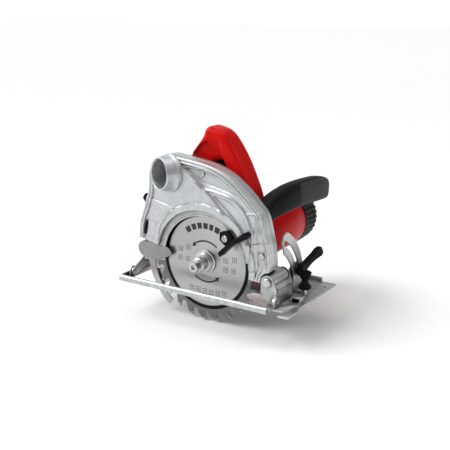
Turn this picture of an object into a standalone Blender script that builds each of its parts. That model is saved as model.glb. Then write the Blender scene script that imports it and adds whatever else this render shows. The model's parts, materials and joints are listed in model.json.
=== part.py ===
"""Hand-held circular saw with a 160 mm blade, modelled as separate solids.

Frame: origin at the centre of the sole (underside of the base plate), +X the cutting
direction, +Y the motor side and +Z up. Sizes below are in millimetres; every point is
turned into metres where its vertex is made.
"""

from math import atan2, cos, degrees, hypot, pi, radians, sin

import bmesh
import bpy
from mathutils import Matrix, Vector

MM = 0.001
GAP = 0.3                       # clearance kept between neighbouring solids

# Blade and spindle
SPINDLE = (-11.0, 37.0)         # spindle axis, as X and Z
BLADE_Y = -32.0                 # middle plane of the blade
BLADE_RADIUS = 80.0
BLADE_TEETH = 24
BLADE_THICK = 1.6

# Motor
MOTOR = (10.0, 58.0)            # armature axis, as X and Z
BARREL_RADIUS = 39.0
BARREL_START = 12.3
BARREL_END = 133.0
CAP_END = 178.0
WHEEL_TEETH = 35
PINION_TEETH = 9
GEAR_MODULE = 2.0 * hypot(MOTOR[0] - SPINDLE[0], MOTOR[1] - SPINDLE[1]) / (WHEEL_TEETH + PINION_TEETH)
GEAR_LOW, GEAR_HIGH = -12.0, -3.0

# Guards
GUARD_NEAR, GUARD_FAR = -41.0, -20.3
GUARD_WALL = 2.6
CAVITY_INSET = 3.2              # from the outline of the upper guard to its cavity
RIM_BAND = 7.0                  # width of the raised band along the crown
FACE_SCREWS = ((-11.4, 153.6), (74.5, 61.0))
SCREW_FLOOR = GUARD_NEAR + 1.5
KNIFE_BOLT = (-58.13, 15.02)    # 52 mm from the spindle axis
PORT_MOUTH = Vector((-65.0, -57.0, 150.0))
PORT_INWARD = Vector((0.405, 0.912, -0.056)).normalized()
GUARD_OPENING = 70.0            # radius of the window in the upper guard
RING_INNER = 61.0               # inner radius of the lower guard's visible ring
RIM_OUTER = 95.5
RIM_INNER = 94.0
LOWER_NEAR = (-38.1, -36.7)     # near wall of the lower guard, as a Y range
LOWER_FAR = (-27.3, -25.9)
HUB_RADIUS = 22.0
BOSS_RADIUS = 17.5
LEVER_SEAT = (25.83, 76.49)     # screw of the guard lever, as X and Z

# Base
BASE_HALF_LENGTH = 127.0
BASE_HALF_WIDTH = 68.0
PLATE = 2.0
RAIL_HEIGHT = 7.5
OPENING_X = (-117.0, 86.0)
OPENING_Y = (-60.0, -13.0)
BEVEL = (-45.0, 8.0)            # bevel axis, as Y and Z
DEPTH = (85.0, 30.0)            # depth pivot axis, as X and Z
DEPTH_BOLT = (-99.59, 75.0)     # depth clamp bolt, 190 mm from the depth axis
CLAMP_RADIUS = 72.7             # bevel clamp bolt, from the bevel axis
CLAMP_ANGLE = 17.2
FENCE = (111.5, 6.0)            # fence clamp screw, as X and Y

# Handle
HANDLE_Y = 4.0                  # middle plane of the D handle
HANDLE_NEAR, HANDLE_FAR = -13.0, 21.0
TRIGGER_AXIS = (-20.0, 163.0)   # as X and Z
LOCK_OFF = (-64.0, 138.0)
GLAND = (HANDLE_Y, 112.5)
GLAND_RADIUS = 8.2
SPINDLE_LOCK = (-8.0, SPINDLE[1])

COLOURS = {
    "cast": ((0.62, 0.64, 0.65), 0.42, 0.9),
    "steel": ((0.48, 0.5, 0.49), 0.35, 1.0),
    "dark_steel": ((0.12, 0.12, 0.13), 0.4, 1.0),
    "bright": ((0.8, 0.8, 0.8), 0.2, 1.0),
    "red": ((0.62, 0.012, 0.02), 0.35, 0.0),
    "black": ((0.018, 0.018, 0.02), 0.5, 0.0),
    "rubber": ((0.03, 0.03, 0.033), 0.75, 0.0),
    "copper": ((0.6, 0.25, 0.12), 0.35, 1.0),
    "carbon": ((0.05, 0.05, 0.05), 0.6, 0.0),
}

AXES = {"X": 0, "Y": 1, "Z": 2}
PLANES = {"X": (1, 2), "Y": (0, 2), "Z": (0, 1)}


# ---------------------------------------------------------------- helpers

def clear_scene():
    for thing in list(bpy.data.objects):
        bpy.data.objects.remove(thing, do_unlink=True)


def material(look):
    if look in bpy.data.materials:
        return bpy.data.materials[look]
    colour, roughness, metallic = COLOURS[look]
    made = bpy.data.materials.new(look)
    made.use_nodes = True
    shader = made.node_tree.nodes["Principled BSDF"]
    shader.inputs["Base Color"].default_value = (*colour, 1.0)
    shader.inputs["Roughness"].default_value = roughness
    shader.inputs["Metallic"].default_value = metallic
    return made


def make(name, grid, look):
    """Turn a bmesh whose points are in millimetres into a named object."""
    for vertex in grid.verts:
        vertex.co *= MM
    bmesh.ops.recalc_face_normals(grid, faces=grid.faces)
    mesh = bpy.data.meshes.new(name)
    grid.to_mesh(mesh)
    grid.free()
    mesh.shade_smooth()
    mesh.set_sharp_from_angle(angle=radians(35))
    made = bpy.data.objects.new(name, mesh)
    made.data.materials.append(material(look))
    bpy.context.scene.collection.objects.link(made)
    return made


def point(axis, along, flat):
    """A 3-D point from its place along an axis and its two other coordinates."""
    place = [0.0, 0.0, 0.0]
    place[AXES[axis]] = along
    place[PLANES[axis][0]] = flat[0]
    place[PLANES[axis][1]] = flat[1]
    return Vector(place)


def prism(name, outline, axis, low, high, look="steel"):
    """Extrude a closed outline along an axis."""
    grid = bmesh.new()
    bottom = [grid.verts.new(point(axis, low, p)) for p in outline]
    top = [grid.verts.new(point(axis, high, p)) for p in outline]
    grid.faces.new(bottom)
    grid.faces.new(top)
    for i in range(len(outline)):
        j = (i + 1) % len(outline)
        grid.faces.new((bottom[i], bottom[j], top[j], top[i]))
    return make(name, grid, look)


def box(name, low, high, look="steel"):
    outline = [(low[0], low[1]), (high[0], low[1]), (high[0], high[1]), (low[0], high[1])]
    return prism(name, outline, "Z", low[2], high[2], look)


def arc(centre, radius, start, end, steps):
    """Points on an arc, angles in degrees from the first axis to the second."""
    return [polar(centre, radius, start + (end - start) * i / steps) for i in range(steps + 1)]


def polar(centre, radius, angle):
    return (centre[0] + radius * cos(radians(angle)), centre[1] + radius * sin(radians(angle)))


def circle(centre, radius, steps=32):
    return arc(centre, radius, 0.0, 360.0 - 360.0 / steps, steps - 1)


def sector(centre, inner, outer, start, end, steps):
    return arc(centre, outer, start, end, steps) + arc(centre, inner, end, start, steps)


def skin(name, rings, look, closed=False):
    """Skin a run of equal rings of 3-D points, capped unless it closes on itself."""
    grid = bmesh.new()
    loops = [[grid.verts.new(p) for p in ring] for ring in rings]
    count = len(loops[0])
    pairs = list(zip(loops, loops[1:]))
    if closed:
        pairs.append((loops[-1], loops[0]))
    for first, second in pairs:
        for i in range(count):
            j = (i + 1) % count
            grid.faces.new((first[i], first[j], second[j], second[i]))
    if not closed:
        grid.faces.new(loops[0])
        grid.faces.new(loops[-1])
    return make(name, grid, look)


def lathe(name, profile, axis, centre, look="steel", steps=32):
    """Turn (along, radius) points about an axis; a ring closes, a solid is capped."""
    ring = all(radius > 0.0 for _, radius in profile) and profile[0] == profile[-1]
    stations = profile[:-1] if ring else profile
    rings = [[point(axis, along, p) for p in circle(centre, radius, steps)] for along, radius in stations]
    return skin(name, rings, look, closed=ring)


def rod(name, axis, centre, low, high, radius, look="steel", steps=24):
    return lathe(name, [(low, radius), (high, radius)], axis, centre, look, steps)


def washer(name, axis, centre, low, high, inner, outer, look="steel", steps=32):
    profile = [(low, inner), (low, outer), (high, outer), (high, inner), (low, inner)]
    return lathe(name, profile, axis, centre, look, steps)


def combine(target, others, operation):
    """Apply a Boolean with each other solid in turn, and remove that solid."""
    for other in others:
        change = target.modifiers.new("combine", "BOOLEAN")
        change.operation = operation
        change.solver = "EXACT"
        change.object = other
        bpy.context.view_layer.update()
        graph = bpy.context.evaluated_depsgraph_get()
        result = bpy.data.meshes.new_from_object(target.evaluated_get(graph))
        target.modifiers.clear()
        target.data = result
        bpy.data.objects.remove(other, do_unlink=True)
    return target


def unite(target, *others):
    return combine(target, others, "UNION")


def cut(target, *others):
    return combine(target, others, "DIFFERENCE")


# ---------------------------------------------------------------- base

def base_plate():
    """Stamped sole plate with raised edges, blade opening, sighting notch and fence bridge."""
    near, far = -BASE_HALF_WIDTH, BASE_HALF_WIDTH
    outline = [(-127.0, near), (97.0, near), (97.0, -54.0), (112.0, -53.0), (117.0, -60.0), (113.0, near),
               (127.0, near), (127.0, -39.0), (124.5, -37.0), (124.5, -20.0), (127.0, -18.0), (127.0, far),
               (-127.0, far)]
    plate = prism("base_plate", outline, "Z", 0.0, PLATE)
    rails = [
        box("near_rail", (-127.0, near, 1.0), (97.0, near + 2.0, RAIL_HEIGHT)),
        box("near_roll", (-127.0, near + 1.0, RAIL_HEIGHT - 2.0), (97.0, near + 7.0, RAIL_HEIGHT)),
        box("far_flange", (-127.0, far - 2.0, 1.0), (107.0, far, RAIL_HEIGHT)),
        box("rear_flange", (-127.0, near, 1.0), (-125.0, far, RAIL_HEIGHT)),
        box("fence_bridge", (105.0, -20.0, 1.0), (118.0, -8.0, 8.5)),
    ]
    unite(plate, *rails)
    holes = [
        box("opening", (OPENING_X[0], OPENING_Y[0], -5.0), (OPENING_X[1], OPENING_Y[1], 5.0)),
        box("bridge_slot", (107.0, -25.0, 2.3), (116.0, 0.0, 7.0)),
        box("square_hole", (116.0, 46.0, -5.0), (121.0, 51.0, 5.0)),
        rod("hole_a", "Z", (103.0, -30.0), -5.0, 5.0, 2.0, steps=12),
        rod("hole_b", "Z", (119.0, -31.0), -5.0, 5.0, 2.0, steps=12),
        rod("fence_hole", "Z", FENCE, -5.0, 5.0, 3.3, steps=16),
    ]
    return cut(plate, *holes)


def bevel_quadrant():
    """Slotted sector that guides the bevel clamp bolt."""
    outer = arc(BEVEL, 87.0, 8.0, 63.0, 10)
    inner = arc(BEVEL, 60.0, 57.0, 16.0, 7)
    tip = [polar(BEVEL, 81.0, 67.0), polar(BEVEL, 72.0, 68.0)]
    outline = [(13.0, 4.0), (42.0, 4.0)] + outer + tip + inner
    plate = prism("bevel_quadrant", outline, "X", 90.0, 92.0)
    foot = box("quadrant_foot", (90.0, 13.0, PLATE + GAP), (104.0, 42.0, 4.5))
    unite(plate, foot)
    slot = sector(BEVEL, CLAMP_RADIUS - 3.4, CLAMP_RADIUS + 3.4, CLAMP_ANGLE - 3.0, 65.0, 12)
    return cut(plate, prism("quadrant_slot", slot, "X", 85.0, 97.0))


def pivot_lug(name, low, high):
    """Upright lug on the base that carries one end of the bevel axis."""
    outline = [(-53.0, PLATE + GAP), (-37.0, PLATE + GAP)] + arc(BEVEL, 7.0, 10.0, 170.0, 8)
    lug = prism(name, outline, "X", low, high)
    return cut(lug, rod("bore", "X", BEVEL, low - 2.0, high + 2.0, 2.6, steps=16))


def fence_clamp():
    """Wing screw and its knob, which press the fence arm in the bridge."""
    rod("fence_clamp_screw", "Z", FENCE, PLATE + GAP, 12.0, 2.8, "bright", 16)
    knob = lathe("fence_clamp_knob", [(12.3, 7.0), (14.0, 8.2), (17.0, 7.4), (21.0, 4.4), (26.0, 4.2)],
                 "Z", FENCE, "black", 20)
    wing = prism("wing", [(103.0, 35.0), (106.0, 25.0), (117.0, 25.0), (120.0, 35.0), (116.0, 37.0),
                          (107.0, 37.0)], "Y", FENCE[1] - 2.0, FENCE[1] + 2.0, "black")
    unite(knob, wing)


# ---------------------------------------------------------------- tilting frame

def front_bracket():
    """U-shaped bracket that holds the depth pivot and the bevel clamp bolt."""
    ear = [(76.0, 8.0), (97.5, 3.0), (97.5, 22.0)] + arc(DEPTH, 9.0, 20.0, 180.0, 8)
    near = prism("front_bracket", ear, "Y", -43.0, -41.5)
    far = prism("far_ear", ear, "Y", -3.0, -1.5)
    web = prism("web", arc(BEVEL, 5.4, 95.0, 265.0, 8) + [(-36.0, 3.0), (-1.5, 3.0), (-1.5, 20.0),
                                                          (-36.0, 20.0)],
                "X", 95.5, 97.5)
    arm = prism("clamp_arm", [(-3.0, 14.0), (18.0, 14.0), (34.0, 20.0), (34.0, 36.0), (18.0, 38.0),
                              (-3.0, 20.0)],
                "X", 86.0, 88.0)
    unite(near, far, web, arm)
    cut(near, rod("pin_bore", "Y", DEPTH, -50.0, 5.0, 4.3, steps=20),
        rod("bolt_bore", "X", clamp_point(), 80.0, 90.0, 3.2, steps=16),
        rod("bevel_bore", "X", BEVEL, 90.0, 100.0, 2.6, steps=16))
    return near


def clamp_point():
    return polar(BEVEL, CLAMP_RADIUS, CLAMP_ANGLE)


def rear_bracket():
    """Rear arm of the tilting frame, which carries the lower end of the depth guide."""
    outline = arc(BEVEL, 5.4, 95.0, 265.0, 8) + [(-38.0, 3.0), (-12.0, 13.0), (-12.0, 26.0), (-20.0, 26.0)]
    plate = prism("rear_bracket", outline, "X", -119.5, -117.5)
    return cut(plate, rod("bore", "X", BEVEL, -125.0, -110.0, 2.6, steps=16))


def depth_guide():
    """Slotted arc bar about the depth pivot."""
    bar = sector(DEPTH, 184.0, 196.0, 178.0, 136.0, 18)
    plate = prism("depth_guide", bar, "Y", -17.4, -15.4)
    foot = box("guide_foot", (-117.2, -17.4, 14.0), (-98.0, -15.4, 42.0))
    unite(plate, foot)
    slot = sector(DEPTH, 187.0, 193.2, 174.0, 139.0, 16)
    return cut(plate, prism("slot", slot, "Y", -22.0, -10.0))


def bevel_lever():
    """Clamp lever on the bevel bolt, with a raised arm."""
    centre = clamp_point()
    hub = lathe("bevel_lever", [(93.4, 7.6), (95.0, 8.7), (100.0, 8.7), (102.0, 7.4)], "X", centre, "black",
                24)
    along, across = Vector((0.0, 0.80, 0.60)), Vector((0.0, -0.60, 0.80))
    rings = []
    for reach, lift, wide, thick in ((4.0, 98.2, 5.0, 3.8), (14.0, 101.0, 4.4, 3.6), (24.0, 105.0, 5.0, 3.6),
                                     (31.0, 108.0, 6.8, 3.8), (36.0, 109.5, 5.8, 3.0)):
        middle = Vector((lift, centre[0], centre[1])) + along * reach
        corners = [(-wide, -thick), (wide, -thick), (wide, thick), (-wide, thick)]
        rings.append([middle + across * a + Vector((b, 0.0, 0.0)) for a, b in corners])
    unite(hub, skin("arm", rings, "black"))
    return cut(hub, rod("bolt_way", "X", centre, 80.0, 99.0, 3.3, steps=16))


# ---------------------------------------------------------------- guards

def guard_outline(inset=0.0):
    """Side outline of the upper guard, from the rear leg over the crest to the front foot."""
    crest = [(-111.0, 57.0), (-109.0, 76.0), (-104.0, 92.0), (-97.0, 109.0), (-93.0, 122.0), (-88.0, 150.0),
             (-76.0, 168.0), (-62.0, 172.5), (-47.0, 171.5), (-14.0, 167.5), (8.0, 163.5), (29.0, 153.5),
             (51.0, 137.0), (71.0, 116.0), (81.0, 94.0), (86.5, 73.0), (88.0, 50.0)]
    if not inset:
        return crest
    middle = Vector((-20.0, 60.0))
    return [tuple(Vector(p) + (middle - Vector(p)).normalized() * inset) for p in crest]


def upper_guard():
    """Die-cast guard: two walls and a crown, open below, with the blade window and dust port."""
    toe = [(86.0, 42.0), (80.0, 40.0), (75.5, 35.0), (74.5, 28.0), (59.0, 27.0), (47.0, 34.0)]
    leg = [(-60.0, 20.0), (-72.0, 48.5), (-99.0, 54.0)]
    shell = prism("upper_guard", guard_outline() + toe + leg, "Y", GUARD_NEAR, GUARD_FAR, "cast")
    far_lug = prism("far_lug", [(-64.0, 52.0), (-68.0, 14.0), (-52.0, 8.0), (-34.0, 26.0), (-34.0, 52.0)],
                    "Y", GUARD_FAR - GUARD_WALL, GUARD_FAR, "cast")
    spout = port_tube("spout", 21.5, 0.0, 34.0)
    rim = prism("face_rim", guard_rim(), "Y", GUARD_NEAR - 1.6, GUARD_NEAR + 1.0, "cast")
    unite(shell, spout, rim)
    cavity = prism("cavity", guard_outline(CAVITY_INSET) + [(84.0, -20.0), (-107.0, -20.0)], "Y",
                   GUARD_NEAR + GUARD_WALL, GUARD_FAR - GUARD_WALL)
    drum = rod("drum", "Y", SPINDLE, GUARD_NEAR + GUARD_WALL, GUARD_FAR - GUARD_WALL, 96.0, steps=64)
    window = prism("window", arc(SPINDLE, GUARD_OPENING, -8.0, 190.0, 40) + [(-60.0, -20.0), (47.0, -20.0)],
                   "Y", GUARD_NEAR - 5.0, GUARD_NEAR + GUARD_WALL + 1.0)
    beyond = box("beyond", (-150.0, GUARD_FAR, -50.0), (150.0, 60.0, 250.0))
    cut(shell, cavity, drum, window, port_tube("duct", 18.6, -6.0, 36.0), beyond)
    unite(shell, far_lug)
    unite(shell, rod("knife_boss", "Y", KNIFE_BOLT, LOWER_FAR[0], GUARD_FAR - 1.0, 7.0, "cast", 20))
    return cut(shell, rod("bearing_way", "Y", SPINDLE, -30.0, -10.0, BOSS_RADIUS + GAP, steps=40),
               rod("screw_way", "Y", KNIFE_BOLT, LOWER_FAR[0] - 1.0, -22.0, 2.8, steps=12),
               *[rod("recess", "Y", place, GUARD_NEAR - 4.0, SCREW_FLOOR, 4.9,
                     steps=20) for place in FACE_SCREWS])


def guard_rim():
    """Raised band along the crown, as a closed strip between the outline and its inset."""
    run = guard_outline()[8:]
    inner = guard_outline(RIM_BAND)[8:]
    return run + inner[::-1]


def port_tube(name, radius, start, end):
    """Round tube along the dust port's axis, flaring a little towards the guard."""
    side = PORT_INWARD.cross(Vector((0.0, 0.0, 1.0))).normalized()
    lift = side.cross(PORT_INWARD)
    rings = []
    for reach in (start, (start + end) / 2.0, end):
        centre = PORT_MOUTH + PORT_INWARD * reach
        rings.append([centre + side * a + lift * b for a, b in circle((0.0, 0.0), radius, 28)])
    return skin(name, rings, "cast")


def lower_guard():
    """Swinging guard: near ring wall, rim and a far spoke that runs on the spindle boss."""
    near = prism("lower_guard", sector(SPINDLE, RING_INNER, RIM_OUTER - 0.6, 8.7, 187.0, 44), "Y",
                 *LOWER_NEAR)
    rim = prism("rim", sector(SPINDLE, RIM_INNER, RIM_OUTER, 9.0, 187.0, 44), "Y", LOWER_NEAR[1] - 0.5,
                LOWER_FAR[1])
    spoke = prism("spoke", sector(SPINDLE, HUB_RADIUS - 2.0, RIM_INNER + 0.7, 10.0, 34.0, 6), "Y",
                  LOWER_FAR[0], LOWER_FAR[1] - 0.2)
    hub = washer("hub", "Y", SPINDLE, LOWER_FAR[0] - 0.3, LOWER_FAR[1] + 0.3, BOSS_RADIUS + GAP, HUB_RADIUS,
                 steps=40)
    tab = [(-62.0, 38.0), (-84.0, 29.0), (-103.0, 28.5), (-112.0, 33.0), (-115.5, 41.0), (-112.0, 49.0),
           (-105.5, 52.5), (-99.0, 49.0), (-79.0, 49.0), (-66.0, 47.0)]
    lug = prism("lug", sector(SPINDLE, 47.0, 63.0, 38.0, 55.0, 3), "Y", LOWER_NEAR[0] + 0.1,
                LOWER_NEAR[1] - 0.1)
    unite(rim, spoke, hub)
    unite(near, prism("tab", tab, "Y", LOWER_NEAR[0] - 0.1, LOWER_NEAR[1] + 0.1), lug)
    cut(near, rod("hole", "Y", LEVER_SEAT, -45.0, -30.0, 2.8, steps=12))
    return unite(near, rim)


def guard_lever():
    """T-shaped lever on the lower guard's ring."""
    face = LOWER_NEAR[0] - GAP
    foot_edge = ((10.0, 12.0), (10.5, 75.0), (11.0, 140.0), (9.0, 200.0), (9.5, 265.0), (10.0, 320.0))
    foot = prism("guard_lever", [polar(LEVER_SEAT, r, a) for r, a in foot_edge], "Y", -44.5, face, "black")
    bar_edge = ((41.0, 28.0), (41.0, 36.0), (62.0, 38.5), (88.0, 38.0), (90.0, 34.5), (86.0, 33.0),
                (62.0, 34.0))
    unite(foot, prism("bar", [polar(SPINDLE, r, a) for r, a in bar_edge], "Y", -57.0, -44.0, "black"))
    return cut(foot, rod("hole", "Y", LEVER_SEAT, -60.0, -30.0, 2.8, steps=12))


def riving_knife():
    """Curved blade behind the saw blade, with a foot that passes on the blade's far side."""
    blade = prism("riving_knife", sector(SPINDLE, 83.0, 92.5, 182.0, 230.0, 14), "Y", BLADE_Y - 1.0,
                  BLADE_Y + 1.0)
    bridge = prism("bridge", sector(SPINDLE, 84.5, 92.0, 197.0, 213.0, 4), "Y", BLADE_Y - 0.5, -27.6)
    foot = prism("foot", sector(SPINDLE, 44.0, 92.0, 197.0, 213.0, 4), "Y", -29.4, -27.6)
    unite(blade, bridge, foot)
    return cut(blade, rod("hole", "Y", KNIFE_BOLT, -35.0, -25.0, 2.8, steps=12))


# ---------------------------------------------------------------- blade and spindle

def saw_blade():
    """Flat disc whose teeth lean into the direction of turn."""
    pitch = 360.0 / BLADE_TEETH
    outline = []
    for tooth in range(BLADE_TEETH):
        start = tooth * pitch
        for radius, turn in ((70.3, -11.0), (78.6, -4.2), (BLADE_RADIUS, 0.0), (71.6, -1.7), (69.2, 0.9)):
            outline.append(polar(SPINDLE, radius, start + turn))
    plate = prism("saw_blade", outline, "Y", BLADE_Y - BLADE_THICK / 2.0, BLADE_Y + BLADE_THICK / 2.0,
                  "steel")
    return cut(plate, rod("bore", "Y", SPINDLE, -40.0, -20.0, 8.0 + GAP, steps=32))


def gear(name, teeth, centre, low, high, bore, phase):
    """Spur gear with trapezoid teeth on its pitch circle."""
    pitch_radius = GEAR_MODULE * teeth / 2.0
    step = 360.0 / teeth
    outline = []
    for tooth in range(teeth):
        start = phase + tooth * step
        for reach, share in ((-1.2, -0.34), (0.85, -0.12), (0.85, 0.12), (-1.2, 0.34)):
            outline.append(polar(centre, pitch_radius + reach * GEAR_MODULE, start + share * step))
    blank = prism(name, outline, "Y", low, high, "steel")
    return cut(blank, rod("bore", "Y", centre, low - 1.0, high + 1.0, bore, steps=20))


def spindle_parts():
    """Everything that turns with the blade."""
    lathe("spindle", [(-46.0, 7.9), (-31.1, 7.9), (-31.1, 6.0), (8.0, 6.0)], "Y", SPINDLE, "bright", 24)
    washer("inner_flange", "Y", SPINDLE, -30.9, -28.4, 6.3, 15.5, "steel", 32)
    profile = [(-33.1, 8.2), (-33.1, 15.5), (-35.5, 15.0), (-37.0, 12.5), (-41.0, 12.0), (-41.5, 8.2),
               (-33.1, 8.2)]
    lathe("outer_flange", profile, "Y", SPINDLE, "bright", 32)
    hexagon = [(-62.0, 5.8), (-61.0, 6.9), (-56.5, 6.9), (-56.5, 4.2), (-52.0, 4.2), (-52.0, 9.6),
               (-46.3, 9.6)]
    bolt = lathe("arbor_bolt", hexagon, "Y", SPINDLE, "bright", 6)
    collar = lathe("collar", [(-52.5, 6.8), (-50.0, 9.2), (-46.3, 9.2)], "Y", SPINDLE, "bright", 28)
    unite(bolt, collar)
    gear("spindle_gear", WHEEL_TEETH, SPINDLE, GEAR_LOW, GEAR_HIGH, 6.3, 0.0)


# ---------------------------------------------------------------- drive housing and motor

def gear_case():
    """Cast case round the gears, with the spindle boss and the depth pivot knuckle."""
    case = prism("gear_case", case_outline(0.0), "Y", GUARD_FAR + GAP, BARREL_START - GAP, "cast")
    boss = rod("boss", "Y", SPINDLE, -28.0, -18.0, BOSS_RADIUS, "cast", 40)
    arm = prism("knuckle_arm", [(30.0, 28.0), (60.0, 24.0), (85.0, 22.0), (85.0, 38.0), (66.0, 44.0),
                                (44.0, 48.0)],
                "Y", -19.0, -5.0, "cast")
    knuckle = rod("knuckle", "Y", DEPTH, -41.0, -5.0, 8.4, "cast", 28)
    unite(case, boss, arm, knuckle)
    return cut(case, prism("pocket", case_outline(3.0), "Y", -13.5, BARREL_START + 1.0),
               rod("bearing_way", "Y", SPINDLE, -26.0, -10.0, 13.3, steps=32),
               rod("spindle_way", "Y", SPINDLE, -30.0, -20.0, 8.0, steps=24),
               rod("pinion_bearing_way", "Y", MOTOR, -17.0, -10.0, 6.6, steps=24),
               rod("pin_bore", "Y", DEPTH, -50.0, 5.0, 4.3, steps=20),
               rod("lock_way", "X", SPINDLE_LOCK, -45.0, -33.0, 3.8, steps=20))


def case_outline(inset):
    """Hull of a circle on each shaft."""
    small, large = 28.3 - inset, BARREL_RADIUS - inset
    lean = degrees(atan2(MOTOR[1] - SPINDLE[1], MOTOR[0] - SPINDLE[0]))
    spread = 90.0 + 22.0
    return arc(MOTOR, large, lean - spread, lean + spread, 26) + arc(SPINDLE, small, lean + spread,
                                                                  lean + 360.0 - spread, 14)


def motor_housing():
    """Red barrel, open at both ends, with a spider that carries the front armature bearing."""
    barrel = washer("motor_housing", "Y", MOTOR, BARREL_START, BARREL_END, BARREL_RADIUS - 2.6, BARREL_RADIUS,
                    "red", 48)
    spider = washer("spider", "Y", MOTOR, BARREL_START + 0.2, BARREL_START + 3.0, 12.6, BARREL_RADIUS - 1.0,
                    "red", 44)
    seat = washer("seat", "Y", MOTOR, BARREL_START + 0.4, 20.0, 11.3, 14.0, "red", 32)
    unite(barrel, spider, seat)
    return cut(barrel, rod("wheel_room", "Y", SPINDLE, BARREL_START - 1.0, BARREL_START + 4.0, 7.0, steps=20))


def end_cap():
    """Domed cap over the commutator end, with the rear bearing seat inside."""
    profile = [(BARREL_END + GAP, 35.0), (BARREL_END + GAP, 39.0), (160.0, 38.8), (170.0, 38.0),
               (174.5, 36.0),
               (177.0, 32.5), (CAP_END, 27.0)]
    cap = lathe("end_cap", profile, "Y", MOTOR, "black", 40)
    room_profile = [(BARREL_END - 1.0, 35.8), (160.0, 35.6), (168.0, 34.6), (172.0, 32.0), (174.5, 26.0)]
    cut(cap, lathe("room", room_profile, "Y", MOTOR, "black", 40))
    unite(cap, washer("seat", "Y", MOTOR, 156.0, CAP_END - 2.0, 9.3, 12.0, "black", 28))
    for i in range(7):
        angle = -70.0 + i * 22.0
        middle = polar(MOTOR, 37.0, angle)
        slot = prism("slot", [(middle[0] - 4.5, middle[1] - 1.2), (middle[0] + 4.5, middle[1] - 1.2),
                              (middle[0] + 4.5, middle[1] + 1.2), (middle[0] - 4.5, middle[1] + 1.2)],
                     "Y", 152.5, 160.5)
        cut(cap, slot)


def motor_parts():
    """Armature group, field and brushes."""
    rod("armature_shaft", "Y", MOTOR, -12.5, 163.0, 4.0, "bright", 20)
    gear("pinion", PINION_TEETH, MOTOR, GEAR_LOW, GEAR_HIGH, 4.0 + GAP, pinion_phase())
    washer("armature_core", "Y", MOTOR, 56.0, 104.0, 4.3, 21.0, "steel", 28)
    lathe("armature_winding", [(44.0, 4.3), (44.0, 14.0), (47.0, 18.0), (55.7, 18.0), (55.7, 4.3),
                               (44.0, 4.3)],
          "Y", MOTOR, "copper", 24)
    washer("commutator", "Y", MOTOR, 118.0, 136.0, 4.3, 12.0, "copper", 24)
    fan = washer("cooling_fan", "Y", MOTOR, 26.0, 28.0, 4.3, 33.0, "black", 32)
    for i in range(9):
        angle = i * 40.0
        blade = [polar(MOTOR, 12.0, angle), polar(MOTOR, 32.0, angle + 16.0),
                 polar(MOTOR, 32.4, angle + 19.0),
                 polar(MOTOR, 12.0, angle + 7.0)]
        unite(fan, prism("fan_blade", blade, "Y", 27.5, 38.0, "black"))
    washer("stator_core", "Y", MOTOR, 56.0, 104.0, 22.5, 36.0, "steel", 32)
    for side, sign in (("left", -1.0), ("right", 1.0)):
        middle = 12.4 * sign
        low, high = sorted((MOTOR[0] + middle, MOTOR[0] + middle + 18.0 * sign))
        box("carbon_brush_" + side, (low, 123.5, MOTOR[1] - 3.0), (high, 130.5, MOTOR[1] + 3.0), "carbon")


def pinion_phase():
    """Turn of the pinion that puts a tooth gap opposite a wheel tooth on the line of centres."""
    lean = degrees(atan2(MOTOR[1] - SPINDLE[1], MOTOR[0] - SPINDLE[0]))
    wheel_step, pinion_step = 360.0 / WHEEL_TEETH, 360.0 / PINION_TEETH
    share = (lean / wheel_step) % 1.0
    return lean + 180.0 + (0.5 + share) * pinion_step


def bearings():
    washer("spindle_bearing_front", "Y", SPINDLE, -25.4, -14.5, 6.3, 13.0, "bright", 28)
    washer("armature_bearing_front", "Y", MOTOR, BARREL_START + 0.5, 19.5, 4.3, 11.0, "bright", 24)
    washer("armature_bearing_rear", "Y", MOTOR, 156.5, 163.0, 4.3, 9.0, "bright", 24)


# ---------------------------------------------------------------- handles

def handle_profile():
    """Side outline of the D handle, and the outline of its hand hole."""
    outer = [(-24.0, 207.0), (-6.0, 207.0), (2.5, 200.0), (12.0, 188.0), (22.0, 173.5), (30.5, 158.0),
             (38.0, 142.5), (45.0, 124.0), (49.0, 100.0), (46.0, 92.0), (30.0, 99.3), (-6.0, 99.3),
             (-26.0, 94.0), (-60.0, 96.0), (-84.0, 102.0), (-92.0, 114.0), (-86.0, 130.0), (-64.0, 154.0),
             (-50.0, 168.0), (-38.0, 183.0), (-29.0, 195.0)]
    hole = [(-13.0, 162.0), (-6.0, 166.0), (0.0, 165.5), (4.5, 160.0), (11.0, 148.0), (21.0, 124.0),
            (19.0, 114.0), (-30.0, 112.0), (-48.0, 116.0), (-52.0, 126.0), (-42.0, 140.0), (-27.0, 154.0)]
    return outer, hole


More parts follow.
